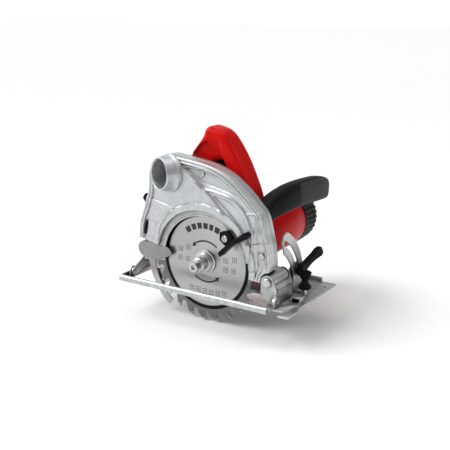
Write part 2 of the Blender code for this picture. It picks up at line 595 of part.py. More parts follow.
def handle_shell(name, low, high):
    """One moulded half of the D handle, pocketed for the switch and the trigger."""
    outer, hole = handle_profile()
    shell = prism(name, outer, "Y", low, high, "red")
    cut(shell, prism("hand_hole", hole, "Y", -30.0, 40.0),
        prism("saddle", circle(MOTOR, BARREL_RADIUS + GAP, 48), "Y", -30.0, 40.0))
    change = shell.modifiers.new("round", "BEVEL")
    change.width = 4.0 * MM
    change.segments = 2
    change.limit_method = "ANGLE"
    change.angle_limit = radians(75)
    bpy.context.view_layer.update()
    graph = bpy.context.evaluated_depsgraph_get()
    shell.data = bpy.data.meshes.new_from_object(shell.evaluated_get(graph))
    shell.modifiers.clear()
    pocket = prism("pocket", [(-75.0, 108.0), (-58.0, 108.0), (-20.0, 152.0), (-34.0, 164.0), (-75.0, 122.0)],
                   "Y", HANDLE_Y - 9.0, HANDLE_Y + 9.0)
    way = prism("trigger_way", [(-46.0, 134.0), (-40.0, 128.0), (-8.0, 148.0), (3.0, 156.0), (2.0, 165.0),
                                (-6.0, 171.5), (-22.0, 171.5)], "Y", HANDLE_Y - 6.5, HANDLE_Y + 6.5)
    gland_way = rod("gland_way", "X", GLAND, -110.0, -83.7, GLAND_RADIUS + GAP, steps=28)
    return cut(shell, pocket, way, gland_way)


def grip_parts():
    """Rubber back of the grip, trigger, lock-off button, switch and cable gland."""
    back = [(-41.0, 180.2), (-52.0, 166.6), (-66.2, 152.6), (-88.4, 129.0), (-92.6, 131.4), (-70.0, 157.0),
            (-55.0, 171.0), (-43.6, 183.6)]
    prism("grip_rubber", back, "Y", HANDLE_Y - 11.0, HANDLE_Y + 11.0, "rubber")
    lever = [(-24.0, 165.0), (-16.0, 168.5), (-8.0, 168.5), (-2.0, 163.0), (-0.5, 152.0), (-5.0, 145.5),
             (-16.0, 144.0), (-26.0, 137.0), (-37.0, 132.5), (-40.5, 136.0)]
    prism("trigger", lever, "Y", HANDLE_Y - 6.0, HANDLE_Y + 6.0, "black")
    body = [(-73.0, 110.0), (-60.0, 110.0), (-47.0, 126.0), (-57.0, 136.0), (-73.0, 120.5)]
    prism("switch_body", body, "Y", HANDLE_Y - 8.6, HANDLE_Y + 8.6, "black")
    rod("lock_off_button", "Y", LOCK_OFF, HANDLE_NEAR - 1.6, HANDLE_Y - 9.5, 4.5, "black", 20)
    gland = [(-120.0, 3.8), (-118.0, 5.2), (-100.0, 7.6), (-92.0, GLAND_RADIUS), (-84.0, GLAND_RADIUS)]
    made = lathe("cable_gland", gland, "X", GLAND, "rubber", 20)
    cut(made, rod("cable_way", "X", GLAND, -121.0, -80.0, 2.8, steps=16))


def front_handle():
    """Arched auxiliary handle over the motor, from the gear case to the barrel's far end."""
    route = [(59.0, -12.0, 104.0), (62.0, 4.0, 111.0), (67.0, 26.0, 116.5), (70.0, 52.0, 118.5),
             (71.0, 82.0, 117.5),
             (71.0, 112.0, 115.0), (68.5, 135.0, 111.0), (58.5, 145.0, 102.0), (45.0, 146.5, 90.5)]
    half = [(13.0, 12.0), (13.0, 15.0), (12.5, 17.0), (12.5, 17.5), (12.5, 17.5), (12.5, 17.0), (12.0, 15.0),
            (9.0, 10.0), (8.0, 7.0)]
    rings = []
    for i, place in enumerate(route):
        before = Vector(route[max(i - 1, 0)])
        after = Vector(route[min(i + 1, len(route) - 1)])
        ahead = (after - before).normalized()
        out = ahead.cross(Vector((0.0, 0.0, 1.0))).normalized()
        lift = out.cross(ahead)
        wide, tall = half[i]
        ring = []
        for a, b in circle((0.0, 0.0), 1.0, 12):
            squash = 1.0 / max(abs(a), abs(b)) ** 0.55
            ring.append(Vector(place) + out * (a * squash * wide) + lift * (b * squash * tall))
        rings.append(ring)
    bar = skin("front_handle", rings, "black")
    clear_of_shell = [(x + 0.4, z) for x, z in handle_profile()[0]]
    return cut(bar, prism("seat", circle(MOTOR, BARREL_RADIUS + GAP, 48), "Y", -60.0, 200.0),
               prism("shell_side", clear_of_shell, "Y", HANDLE_NEAR - 0.4, HANDLE_FAR + 0.4),
               box("guard_side", (-50.0, -60.0, 50.0), (150.0, GUARD_FAR + 2 * GAP, 200.0)))


def screws():
    """Machine screws, each with a pan head and a cross recess left to the finish."""
    for name, flat, face, depth, head in (("guard_lever_screw", LEVER_SEAT, -44.8, 8.0, 2.4),
                                          ("knife_screw", KNIFE_BOLT, -29.7, 5.5, 1.0)):
        profile = [(face - head, 3.0), (face - 0.6 * head, 4.4), (face, 4.4), (face, 2.4),
                   (face + depth, 2.4)]
        lathe(name, profile, "Y", flat, "bright", 18)
    for name, flat in zip(("guard_screw_top", "guard_screw_front"), FACE_SCREWS):
        profile = [(SCREW_FLOOR - 2.4, 3.2), (SCREW_FLOOR - 1.4, 4.3), (SCREW_FLOOR - GAP, 4.3)]
        lathe(name, profile, "Y", flat, "bright", 18)


def depth_parts():
    """Pivot pin of the depth hinge and the clamp on the guide's slot."""
    profile = [(-46.5, 4.6), (-45.6, 5.8), (-43.3, 5.8), (-43.3, 4.0), (-0.5, 4.0)]
    lathe("depth_pivot_pin", profile, "Y", DEPTH, "bright", 20)
    rod("depth_clamp_bolt", "Y", DEPTH_BOLT, GUARD_FAR + GAP, -9.3, 2.7, "bright", 16)
    hub_profile = [(-15.1, 8.0), (-13.5, 9.0), (-8.0, 9.0), (-7.0, 8.0)]
    hub = lathe("depth_clamp_lever", hub_profile, "Y", DEPTH_BOLT, "black", 20)
    arm_edge = ((6.0, 80.0), (34.0, 118.0), (40.0, 124.0), (38.0, 134.0), (6.0, 190.0))
    unite(hub, prism("arm", [polar(DEPTH_BOLT, r, a) for r, a in arm_edge], "Y", -13.5, -7.5, "black"))
    cut(hub, rod("way", "Y", DEPTH_BOLT, -20.0, -9.0, 3.0, steps=16))
    rod("bevel_clamp_bolt", "X", clamp_point(), 83.0, 98.5, 2.9, "bright", 16)
    rod("bevel_pin_front", "X", BEVEL, 94.0, 101.5, 2.3, "bright", 14)
    rod("bevel_pin_rear", "X", BEVEL, -124.0, -116.5, 2.3, "bright", 14)


def small_parts():
    """Bumper on the bracket, spindle lock and guard spring."""
    rod("depth_stop_bumper", "X", (-38.6, 18.0), 60.0, 94.9, 2.6, "rubber", 16)
    pin = rod("spindle_lock_button", "X", SPINDLE_LOCK, -48.0, -39.4, 3.4, "black", 18)
    tip = box("tip", (-39.8, -10.0, SPINDLE[1] - 0.6), (-37.0, -6.0, SPINDLE[1] + 0.6), "black")
    unite(pin, tip)
    turns, per_turn = 9, 8
    start, end = Vector((-25.0, -24.7, 62.0)), Vector((20.0, -24.7, 74.0))
    along = (end - start).normalized()
    side = Vector((0.0, 1.0, 0.0))
    lift = along.cross(side)
    rings = []
    for i in range(turns * per_turn + 1):
        turn = 2.0 * pi * i / per_turn
        out = side * cos(turn) + lift * sin(turn)
        centre = start + (end - start) * (i / (turns * per_turn)) + out * 0.62
        rings.append([centre + out * (0.34 * a) + along * (0.34 * b) for a, b in circle((0.0, 0.0), 1.0, 4)])
    skin("guard_spring", rings, "steel")


# ---------------------------------------------------------------- joint axes

def joint_groups():
    """A point on each joint's axis, with the names of the solids that move about it."""
    lever_bolt = clamp_point()
    return (
        ((*FENCE, 12.0), ("fence_clamp_knob", "fence_clamp_screw")),
        ((0.0, *BEVEL), ("front_bracket", "rear_bracket", "depth_guide", "bevel_clamp_bolt",
                         "depth_pivot_pin",
                         "depth_stop_bumper")),
        ((98.0, *lever_bolt), ("bevel_lever",)),
        ((DEPTH[0], -30.0, DEPTH[1]),
         ("upper_guard", "gear_case", "motor_housing", "end_cap", "stator_core", "carbon_brush_left",
          "carbon_brush_right", "spindle_bearing_front", "armature_bearing_front", "armature_bearing_rear",
          "handle_shell_left", "handle_shell_right", "grip_rubber", "switch_body", "cable_gland", "front_handle",
          "riving_knife", "knife_screw", "guard_screw_top", "guard_screw_front", "depth_clamp_bolt",
          "guard_spring")),
        ((SPINDLE[0], BLADE_Y, SPINDLE[1]),
         ("lower_guard", "guard_lever", "guard_lever_screw", "spindle", "inner_flange", "outer_flange",
          "saw_blade", "arbor_bolt", "spindle_gear")),
        ((MOTOR[0], 80.0, MOTOR[1]),
         ("armature_shaft", "pinion", "armature_core", "armature_winding", "commutator", "cooling_fan")),
        ((TRIGGER_AXIS[0], HANDLE_Y, TRIGGER_AXIS[1]), ("trigger",)),
        ((LOCK_OFF[0], HANDLE_NEAR, LOCK_OFF[1]), ("lock_off_button",)),
        ((-44.0, *SPINDLE_LOCK), ("spindle_lock_button",)),
        ((DEPTH_BOLT[0], -11.0, DEPTH_BOLT[1]), ("depth_clamp_lever",)),
    )


def set_origins():
    """Move the origin of every moving solid onto its joint's axis, leaving its shape where it is."""
    for place, names in joint_groups():
        offset = Vector(place) * MM
        for name in names:
            solid = bpy.data.objects[name]
            solid.data.transform(Matrix.Translation(-offset))
            solid.location = offset


def build():
    clear_scene()
    base_plate()
    bevel_quadrant()
    pivot_lug("front_pivot_lug", 98.0, 100.0)
    pivot_lug("rear_pivot_lug", -122.3, -120.3)
    fence_clamp()
    front_bracket()
    rear_bracket()
    depth_guide()
    bevel_lever()
    upper_guard()
    lower_guard()
    guard_lever()
    riving_knife()
    saw_blade()
    spindle_parts()
    gear_case()
    motor_housing()
    end_cap()
    motor_parts()
    bearings()
    left = handle_shell("handle_shell_left", HANDLE_NEAR, HANDLE_Y - GAP / 2.0)
    cut(left, rod("button_way", "Y", LOCK_OFF, -20.0, 0.0, 4.9, steps=24))
    handle_shell("handle_shell_right", HANDLE_Y + GAP / 2.0, HANDLE_FAR)
    grip_parts()
    front_handle()
    screws()
    depth_parts()
    small_parts()
    set_origins()


build()
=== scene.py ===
"""Looks for a hand-held circular saw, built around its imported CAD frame.

Lengths in this script are millimetres in the frame of the CAD model, and are turned into
metres where a mesh is made. Outlines are offsets from the axes that the record states.
"""

import json
from math import cos, pi, radians, sin

import bmesh
import bpy
import numpy as np
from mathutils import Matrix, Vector


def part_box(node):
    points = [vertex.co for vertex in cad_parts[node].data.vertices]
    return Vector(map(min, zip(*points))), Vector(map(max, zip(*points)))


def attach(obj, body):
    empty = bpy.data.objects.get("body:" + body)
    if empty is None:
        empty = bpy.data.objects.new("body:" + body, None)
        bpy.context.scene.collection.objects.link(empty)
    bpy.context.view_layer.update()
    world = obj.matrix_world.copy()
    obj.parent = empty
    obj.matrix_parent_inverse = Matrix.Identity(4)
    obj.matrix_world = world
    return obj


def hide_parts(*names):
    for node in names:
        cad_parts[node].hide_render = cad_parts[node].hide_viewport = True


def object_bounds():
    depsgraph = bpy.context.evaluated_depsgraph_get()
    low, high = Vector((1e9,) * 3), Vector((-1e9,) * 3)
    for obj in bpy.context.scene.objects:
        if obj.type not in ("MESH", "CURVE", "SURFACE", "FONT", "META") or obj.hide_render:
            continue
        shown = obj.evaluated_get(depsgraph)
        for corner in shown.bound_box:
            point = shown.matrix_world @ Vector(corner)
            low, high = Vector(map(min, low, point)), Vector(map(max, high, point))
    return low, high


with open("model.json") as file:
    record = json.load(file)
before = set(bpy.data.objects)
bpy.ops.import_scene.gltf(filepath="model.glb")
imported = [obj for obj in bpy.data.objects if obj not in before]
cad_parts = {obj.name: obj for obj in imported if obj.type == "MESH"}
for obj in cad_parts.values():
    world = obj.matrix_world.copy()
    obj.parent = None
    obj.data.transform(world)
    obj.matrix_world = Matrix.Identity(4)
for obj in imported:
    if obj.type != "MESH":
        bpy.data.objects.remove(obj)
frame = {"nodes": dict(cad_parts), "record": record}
CAD_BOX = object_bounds()

MM = 0.001
JOINTS = {joint["name"]: joint for joint in frame["record"]["behaviour"]["joints"]}
SLOT_OF = {part["node"]: part["material_slot"] for part in frame["record"]["subparts"]}
BODY_OF = {node: body for body, nodes in frame["record"]["behaviour"]["bodies"].items()
           for node in nodes}


def axis_point(joint):
    return np.array(JOINTS[joint]["pos_m"]) / MM


def box_mm(node):
    """Low and high corners of a CAD node's box."""
    return [np.array(corner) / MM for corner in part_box(node)]


def box_middle(node):
    """Middle of a CAD node's box, as it is seen along Y."""
    low, high = box_mm(node)
    return ((low[0] + high[0]) / 2, (low[2] + high[2]) / 2)


SPINDLE = axis_point("spindle_spin")
MOTOR = axis_point("armature_spin")
SP = (SPINDLE[0], SPINDLE[2])
MO = (MOTOR[0], MOTOR[2])
NEAR_FACE = -41.0               # near wall of the cast guard, along Y
FAR_FACE = box_mm("upper_guard")[1][1]
HANDLE_Y = 4.0                  # parting plane of the D handle
CORE = 0.05                     # radius left open at the axis of a turned piece
WELD = 1e-6                     # points closer than this, in metres, become one
UP = Vector((0.0, 0.0, 1.0))


# ---------------------------------------------------------------- mesh helpers

def link_object(name, data):
    """An object in the scene for a mesh, light or camera."""
    made = bpy.data.objects.new(name, data)
    bpy.context.scene.collection.objects.link(made)
    return made


def build(name, points, faces, look, body, smooth_angle=35.0, nodes=()):
    """A mesh object in metres from millimetre points, on a body and in its material slot."""
    mesh = bpy.data.meshes.new(name)
    mesh.from_pydata([tuple(float(c) * MM for c in p) for p in points], [],
                     [tuple(f) for f in faces])
    grid = bmesh.new()
    grid.from_mesh(mesh)
    bmesh.ops.remove_doubles(grid, verts=grid.verts, dist=WELD)
    bmesh.ops.recalc_face_normals(grid, faces=grid.faces)
    grid.to_mesh(mesh)
    grid.free()
    made = link_object(name, mesh)
    finish_piece(made, look, body, smooth_angle, nodes)
    return made


def finish_piece(made, look, body, smooth_angle, nodes=()):
    """Shade a piece, give it its look, and tie it to its body, slot and CAD nodes."""
    made.data.shade_smooth()
    made.data.set_sharp_from_angle(angle=radians(smooth_angle))
    made.data.materials.clear()
    made.data.materials.append(look)
    if body:
        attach(made, body)
    if nodes:
        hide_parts(*nodes)


def bevel(made, width, segments=2, angle=40.0):
    """Round the edges that turn by more than an angle."""
    change = made.modifiers.new("edges", "BEVEL")
    change.width = width * MM
    change.segments = segments
    change.limit_method = "ANGLE"
    change.angle_limit = radians(angle)
    change.harden_normals = True
    return made


def loft(rings, closed=False, capped=True):
    """Points and faces of a skin over equal rings."""
    count = len(rings[0])
    points = [p for ring in rings for p in ring]
    faces = []
    spans = len(rings) if closed else len(rings) - 1
    for i in range(spans):
        low, high = i * count, ((i + 1) % len(rings)) * count
        for j in range(count):
            k = (j + 1) % count
            faces.append((low + j, low + k, high + k, high + j))
    if capped and not closed:
        faces.append(tuple(range(count)))
        faces.append(tuple(range((len(rings) - 1) * count, len(rings) * count)))
    return points, faces


def spread(outline, axis, low, high):
    """Points and faces of a flat outline pushed along an axis."""
    rings = [[place(axis, along, p) for p in outline] for along in (low, high)]
    return loft(rings)


def place(axis, along, flat):
    """A point from its place along X or Y and its two other coordinates."""
    if axis == "X":
        return (along, flat[0], flat[1])
    return (flat[0], along, flat[1])


def plate(name, outline, low, high, look, body, edge, segments=2, nodes=()):
    """A flat piece between two planes across Y, with its edges rounded."""
    made = build(name, *spread(outline, "Y", low, high), look, body, nodes=nodes)
    return bevel(made, edge, segments)


def about(axis, offsets):
    """Flat points from their offsets to an axis."""
    return [(axis[0] + a, axis[1] + b) for a, b in offsets]


def turned(profile, centre, steps=96):
    """Points and faces of a closed (along, radius) profile turned about Y.

    A profile that changes on its way round is a function of the step and its angle.
    """
    rings = []
    for i in range(steps):
        turn = 2.0 * pi * i / steps
        shape = profile(i, turn) if callable(profile) else profile
        rings.append([(centre[0] + r * cos(turn), along, centre[1] + r * sin(turn))
                      for along, r in shape])
    return loft(rings, closed=True)


def curve_through(points, per, closed=False):
    """Catmull-Rom curve through points, with per steps between neighbours."""
    points = np.array(points, float)
    count = len(points)
    spans = count if closed else count - 1
    found = []
    for i in range(spans):
        pick = [i - 1, i, i + 1, i + 2]
        if closed:
            a, b, c, d = (points[k % count] for k in pick)
        else:
            a, b, c, d = (points[min(max(k, 0), count - 1)] for k in pick)
        for j in range(per):
            t = j / per
            found.append(0.5 * (2 * b + (c - a) * t + (2 * a - 5 * b + 4 * c - d) * t * t
                                + (3 * b - a - 3 * c + d) * t ** 3))
    if not closed:
        found.append(points[-1])
    return np.array(found)


def away_from(path, flat):
    """Distance from each flat point to a polyline."""
    path = np.array(path, float)
    best = np.full(flat.shape[:-1], np.inf)
    for a, b in zip(path, path[1:]):
        along = b - a
        share = np.clip(((flat - a) @ along) / (along @ along), 0.0, 1.0)
        best = np.minimum(best, np.linalg.norm(flat - a - share[..., None] * along, axis=-1))
    return best


def within(outline, flat):
    """Signed distance to a closed outline, positive inside."""
    ring = np.array(list(outline) + [outline[0]], float)
    inside = np.zeros(flat.shape[:-1], bool)
    for a, b in zip(ring, ring[1:]):
        crosses = (a[1] > flat[..., 1]) != (b[1] > flat[..., 1])
        rise = b[1] - a[1] if abs(b[1] - a[1]) > 1e-9 else 1e-9
        inside ^= crosses & (flat[..., 0] < a[0] + (flat[..., 1] - a[1]) * (b[0] - a[0]) / rise)
    return np.where(inside, 1.0, -1.0) * away_from(ring, flat)


def soft_step(value, width):
    """0 below zero and 1 above it, with a smooth change between."""
    return 0.5 * (1.0 + np.tanh(value / width))


def ridge(distance, height, half_width):
    """Height of a rounded ridge at a distance from its line."""
    return height * np.exp(-(distance / half_width) ** 2)


def squarer(value, power):
    """A sine or cosine pushed towards that of a rounded square."""
    return np.sign(value) * abs(value) ** power


def at_angle(centre, radius, turn):
    return (centre[0] + radius * cos(radians(turn)), centre[1] + radius * sin(radians(turn)))


def circle(radius, steps):
    return [(radius * cos(2 * pi * i / steps), radius * sin(2 * pi * i / steps))
            for i in range(steps)]


def sector(centre, inner, outer, start, end, steps):
    """Outline of a piece of a flat ring, between two angles in degrees."""
    turn = [radians(start + (end - start) * i / steps) for i in range(steps + 1)]
    far = [(centre[0] + outer * cos(a), centre[1] + outer * sin(a)) for a in turn]
    close = [(centre[0] + inner * cos(a), centre[1] + inner * sin(a)) for a in reversed(turn)]
    return far + close


# ---------------------------------------------------------------- materials

MIX_FIRST, MIX_SECOND, MIX_RESULT = 6, 7, 2     # colour sockets of a Mix node
NOISE_ROUGHNESS = 0.55


class Shader:
    """A node material, with short calls for the nodes that every finish uses."""

    def __init__(self, name, colour, roughness, metallic=0.0, **more):
        self.material = bpy.data.materials.new(name)
        self.material.use_nodes = True
        self.tree = self.material.node_tree
        self.surface = self.tree.nodes["Principled BSDF"]
        self.surface.inputs["Base Color"].default_value = (*colour, 1.0)
        self.surface.inputs["Roughness"].default_value = roughness
        self.surface.inputs["Metallic"].default_value = metallic
        for key, value in more.items():
            self.surface.inputs[key.replace("_", " ")].default_value = value
        self.where = self.tree.nodes.new("ShaderNodeTexCoord").outputs["Object"]
        self.bumped = None

    def node(self, kind, **values):
        made = self.tree.nodes.new(kind)
        for key, value in values.items():
            setattr(made, key, value)
        return made

    def join(self, start, end):
        self.tree.links.new(start, end)

    def noise(self, scale, detail, where=None):
        made = self.node("ShaderNodeTexNoise")
        made.inputs["Scale"].default_value = scale
        made.inputs["Detail"].default_value = detail
        made.inputs["Roughness"].default_value = NOISE_ROUGHNESS
        self.join(where or self.where, made.inputs["Vector"])
        return made.outputs["Fac"]

    def cells(self, scale):
        """Distance to the middle of scattered cells."""
        made = self.node("ShaderNodeTexVoronoi")
        made.inputs["Scale"].default_value = scale
        self.join(self.where, made.inputs["Vector"])
        return made.outputs["Distance"]

    def ramp(self, value, stops):
        made = self.node("ShaderNodeValToRGB")
        while len(made.color_ramp.elements) < len(stops):
            made.color_ramp.elements.new(0.5)
        for element, (at, colour) in zip(made.color_ramp.elements, stops):
            element.position = at
            element.color = (*colour, 1.0)
        self.join(value, made.inputs["Fac"])
        return made.outputs["Color"]

    def cloudy(self, scale, detail, low, high):
        """A colour that drifts between two tones."""
        return self.ramp(self.noise(scale, detail), [(0.3, low), (0.7, high)])

    def multiplied(self, first, second):
        """The product of two colours."""
        mix = self.node("ShaderNodeMix", data_type="RGBA", blend_type="MULTIPLY")
        mix.inputs["Factor"].default_value = 1.0
        self.join(first, mix.inputs[MIX_FIRST])
        self.join(second, mix.inputs[MIX_SECOND])
        return mix.outputs[MIX_RESULT]

    def maths(self, operation, first, second):
        made = self.node("ShaderNodeMath", operation=operation)
        for socket, value in zip(made.inputs, (first, second)):
            if isinstance(value, (int, float)):
                socket.default_value = value
            else:
                self.join(value, socket)
        return made.outputs[0]

    def span(self, value, low, high):
        made = self.node("ShaderNodeMapRange")
        made.inputs["To Min"].default_value = low
        made.inputs["To Max"].default_value = high
        self.join(value, made.inputs["Value"])
        return made.outputs["Result"]

    def colour(self, value):
        self.join(value, self.surface.inputs["Base Color"])

    def rough(self, value, low, high):
        self.join(self.span(value, low, high), self.surface.inputs["Roughness"])

    def bump(self, value, strength, distance):
        made = self.node("ShaderNodeBump")
        made.inputs["Strength"].default_value = strength
        made.inputs["Distance"].default_value = distance * MM
        self.join(value, made.inputs["Height"])
        if self.bumped:
            self.join(self.bumped, made.inputs["Normal"])
        self.bumped = made.outputs["Normal"]
        self.join(self.bumped, self.surface.inputs["Normal"])

    def paint_crease_shade(self, base, reach_mm, darkest):
        """Painted shade: darken a colour in creases and corners, where shade falls, and make it the
        surface's colour.
        """
        # painted shade: the occlusion amount darkens the colour in hollows
        crease = self.node("ShaderNodeAmbientOcclusion", samples=6)
        crease.inputs["Distance"].default_value = reach_mm * MM
        shade = self.ramp(crease.outputs["AO"],
                          [(0.35, (darkest, darkest, darkest)), (0.95, (1, 1, 1))])
        self.colour(self.multiplied(base, shade))

    def edge_wear(self, base, worn, spread_mm):
        """Mix towards a worn colour where the surface turns sharply."""
        edge = self.node("ShaderNodeBevel")
        edge.inputs["Radius"].default_value = spread_mm * MM
        edge.samples = 4
        flat = self.node("ShaderNodeNewGeometry").outputs["Normal"]
        match = self.node("ShaderNodeVectorMath", operation="DOT_PRODUCT")
        self.join(edge.outputs["Normal"], match.inputs[0])
        self.join(flat, match.inputs[1])
        share = self.ramp(match.outputs["Value"], [(0.80, (1, 1, 1)), (0.985, (0, 0, 0))])
        mix = self.node("ShaderNodeMix", data_type="RGBA")
        self.join(share, mix.inputs["Factor"])
        self.join(base, mix.inputs[MIX_FIRST])
        mix.inputs[MIX_SECOND].default_value = (*worn, 1.0)
        self.colour(mix.outputs[MIX_RESULT])


def cast_finish():
    """Die-cast aluminium: fine sparkle, cloudy tone and an orange-peel skin."""
    made = Shader("cast_aluminium", (0.48, 0.50, 0.51), 0.40, 0.85)
    fine = made.noise(2400.0, 3.0)
    # cloudy tone, with painted shade darkening its creases and corners
    made.paint_crease_shade(made.cloudy(140.0, 5.0, (0.52, 0.54, 0.55), (0.61, 0.63, 0.64)), 5.0, 0.35)
    made.rough(fine, 0.32, 0.50)
    made.bump(fine, 0.45, 0.14)
    made.bump(made.noise(520.0, 3.0), 0.12, 0.12)
    return made.material


def zinc_finish():
    """Zinc-plated sheet: soft spangle patches and faint drawing scratches."""
    made = Shader("zinc_sheet", (0.6, 0.62, 0.61), 0.36, 0.95)
    tone = made.ramp(made.cells(130.0), [(0.0, (0.42, 0.44, 0.43)), (0.8, (0.57, 0.59, 0.58))])
    # spangle tone, with painted shade darkening its creases and corners
    made.paint_crease_shade(tone, 8.0, 0.3)
    stretched = made.node("ShaderNodeMapping")
    stretched.inputs["Scale"].default_value = (30.0, 900.0, 900.0)
    made.join(made.where, stretched.inputs["Vector"])
    scratches = made.noise(1.0, 5.0, stretched.outputs["Vector"])
    made.rough(scratches, 0.32, 0.52)
    made.bump(scratches, 0.12, 0.05)
    return made.material


def steel_finish(name, low, high, roughness):
    """Machined or dull steel: a cloudy tone and a fine tooth."""
    made = Shader(name, low, roughness, 1.0)
    made.colour(made.cloudy(90.0, 6.0, low, high))
    made.rough(made.noise(700.0, 4.0), roughness - 0.07, roughness + 0.08)
    made.bump(made.noise(900.0, 3.0), 0.1, 0.05)
    return made.material


def red_finish():
    """Semi-gloss moulded plastic with a fine grain and slightly paler worn edges."""
    made = Shader("red_plastic", (0.60, 0.004, 0.004), 0.36, 0.0, Specular_IOR_Level=0.08)
    tone = made.cloudy(35.0, 4.0, (0.56, 0.003, 0.004), (0.64, 0.006, 0.005))
    made.edge_wear(tone, (0.74, 0.03, 0.02), 0.5)
    made.rough(made.noise(500.0, 3.0), 0.27, 0.40)
    made.bump(made.noise(1500.0, 2.0), 0.18, 0.06)
    return made.material


def black_finish():
    """Spark-eroded black nylon: matt grain, faint grey bloom on the edges."""
    made = Shader("black_nylon", (0.012, 0.012, 0.014), 0.48, 0.0, Specular_IOR_Level=0.06)
    tone = made.cloudy(120.0, 4.0, (0.006, 0.006, 0.007), (0.011, 0.011, 0.013))
    made.edge_wear(tone, (0.045, 0.045, 0.05), 0.4)
    made.rough(made.noise(900.0, 3.0), 0.38, 0.54)
    made.bump(made.noise(1300.0, 3.0), 0.22, 0.06)
    return made.material


def rubber_finish():
    """Soft over-moulded rubber with small raised dots."""
    made = Shader("soft_rubber", (0.018, 0.018, 0.02), 0.72, 0.0, Sheen_Weight=0.1,
                  Specular_IOR_Level=0.3)
    dots = made.cells(620.0)
    made.colour(made.ramp(dots, [(0.1, (0.026, 0.026, 0.028)), (0.6, (0.010, 0.010, 0.012))]))
    made.rough(made.noise(300.0, 3.0), 0.62, 0.82)
    made.bump(dots, 0.5, -0.15)
    return made.material


def plain_finish(name, low, high, roughness, metallic, grain):
    """A cloudy tone with a grain of its own scale."""
    made = Shader(name, low, roughness, metallic)
    made.colour(made.cloudy(grain, 4.0, low, high))
    made.rough(made.noise(grain * 4.0, 3.0), roughness - 0.08, roughness + 0.08)
    made.bump(made.noise(grain * 5.0, 3.0), 0.2, 0.05)
    return made.material


def blade_finish():
    """Ground blade: circular brush lines, a dark printed ring and a bare toothed edge."""
    made = Shader("blade_steel", (0.62, 0.62, 0.61), 0.3, 1.0, Anisotropic=0.75)
    brushed = made.node("ShaderNodeTangent", direction_type="RADIAL", axis="Y")
    made.join(brushed.outputs["Tangent"], made.surface.inputs["Tangent"])
    parts = made.node("ShaderNodeSeparateXYZ")
    made.join(made.where, parts.inputs["Vector"])
    x = made.maths("SUBTRACT", parts.outputs["X"], SP[0] * MM)
    z = made.maths("SUBTRACT", parts.outputs["Z"], SP[1] * MM)
    square = made.maths("ADD", made.maths("MULTIPLY", x, x), made.maths("MULTIPLY", z, z))
    radius = made.maths("DIVIDE", made.maths("SQRT", square, 0.0), 0.1)
    rings = made.node("ShaderNodeTexNoise", noise_dimensions="1D")
    rings.inputs["Scale"].default_value = 260.0
    rings.inputs["Detail"].default_value = 5.0
    made.join(radius, rings.inputs["W"])
    tone = made.ramp(rings.outputs["Fac"],
                     [(0.25, (0.37, 0.37, 0.365)), (0.75, (0.54, 0.54, 0.53))])
    band = made.ramp(radius, [(0.0, (1, 1, 1)), (0.590, (1, 1, 1)), (0.596, (0.03, 0.03, 0.032)),
                              (0.640, (0.03, 0.03, 0.032)), (0.646, (0.42, 0.42, 0.41))])
    made.colour(made.multiplied(tone, band))
    made.rough(rings.outputs["Fac"], 0.2, 0.42)
    made.bump(rings.outputs["Fac"], 0.12, 0.04)
    return made.material


LOOKS = {
    "cast": cast_finish(),
    "galvanised": zinc_finish(),
    "steel": steel_finish("dark_steel", (0.38, 0.38, 0.37), (0.52, 0.52, 0.50), 0.36),
    "bright": steel_finish("bright_steel", (0.50, 0.50, 0.50), (0.64, 0.64, 0.63), 0.30),
    "blade": blade_finish(),
    "red": red_finish(),
    "black": black_finish(),
    "rubber": rubber_finish(),
    "copper": plain_finish("copper_wire", (0.55, 0.22, 0.10), (0.72, 0.34, 0.18), 0.36, 1.0, 300.0),
    "carbon": plain_finish("pressed_carbon", (0.035, 0.035, 0.036), (0.06, 0.06, 0.062), 0.6, 0.0,
                           400.0),
    "tooth": plain_finish("carbide", (0.30, 0.30, 0.31), (0.42, 0.42, 0.42), 0.34, 0.9, 500.0),
    # the thumb tab's look: a darker copy of the galvanised zinc, painted shade for how the tab
    # looks under the lights
    "tab": steel_finish("zinc_painted_shade", (0.24, 0.25, 0.245), (0.33, 0.34, 0.335), 0.36),
    "ink": plain_finish("printed_ink", (0.010, 0.010, 0.011), (0.022, 0.022, 0.024), 0.5, 0.0,
                        500.0),
}


# ---------------------------------------------------------------- upper guard

CREST = [(-100, 20), (-98, 39), (-93, 55), (-86, 72), (-82, 85), (-79.5, 99), (-77, 112),
         (-72, 124), (-63, 131.5), (-51, 135.2), (-36, 134.5), (-3, 130.5), (19, 126), (40, 116.5),
         (62, 100), (77, 85.5), (85, 77), (89.5, 66), (93, 52), (97, 35), (99, 13)]
TOE = [(97.3, 5.5), (92, 3.2), (87.5, -1.5), (85.5, -9.5)]
CREST_BAND = 7.5
CONE_RIDGE = [(-40, 129), (-28, 122), (-14, 114), (1, 100), (18, 85), (33, 69)]
INNER_RIDGE = [(-6, 106), (4, 98.5), (20, 96), (43, 90.5), (61, 77), (70, 60), (73, 43), (72, 22),
               (70, 5)]
UPPER_PANEL = [(-30, 122.5), (-8, 121.5), (14, 116.5), (36, 105), (54, 92), (40, 95.5), (20, 100),
               (4, 104), (-10, 114)]
LOWER_PANEL = [(16, 91.5), (28, 90), (42, 85.5), (56, 74), (65, 59), (68.5, 43), (66, 34), (60, 46),
               (52, 58), (38, 72), (24, 84)]
FRONT_PANEL = [(76, 71), (84, 70), (88, 58), (91.5, 40), (93, 14), (81, 12), (80, 34), (77, 54)]
CROSS_BARS = [((66, 74), (88, 77)), ((74, 36), (98, 42)), ((74, 10), (99, 15))]
LOGO_PLATE = [(-96, 26), (-94, 44), (-88, 60), (-83, 77), (-64, 73), (-41, 68), (-53, 55),
              (-63, 42), (-68, 20)]
MAKER_GROOVE = [(-85, 47), (-63, 42)]
COLLAR_EDGE = 78.5              # radius of the raised collar round the blade window
RELIEF_GAIN = 1.35
DEEPEST = -1.9
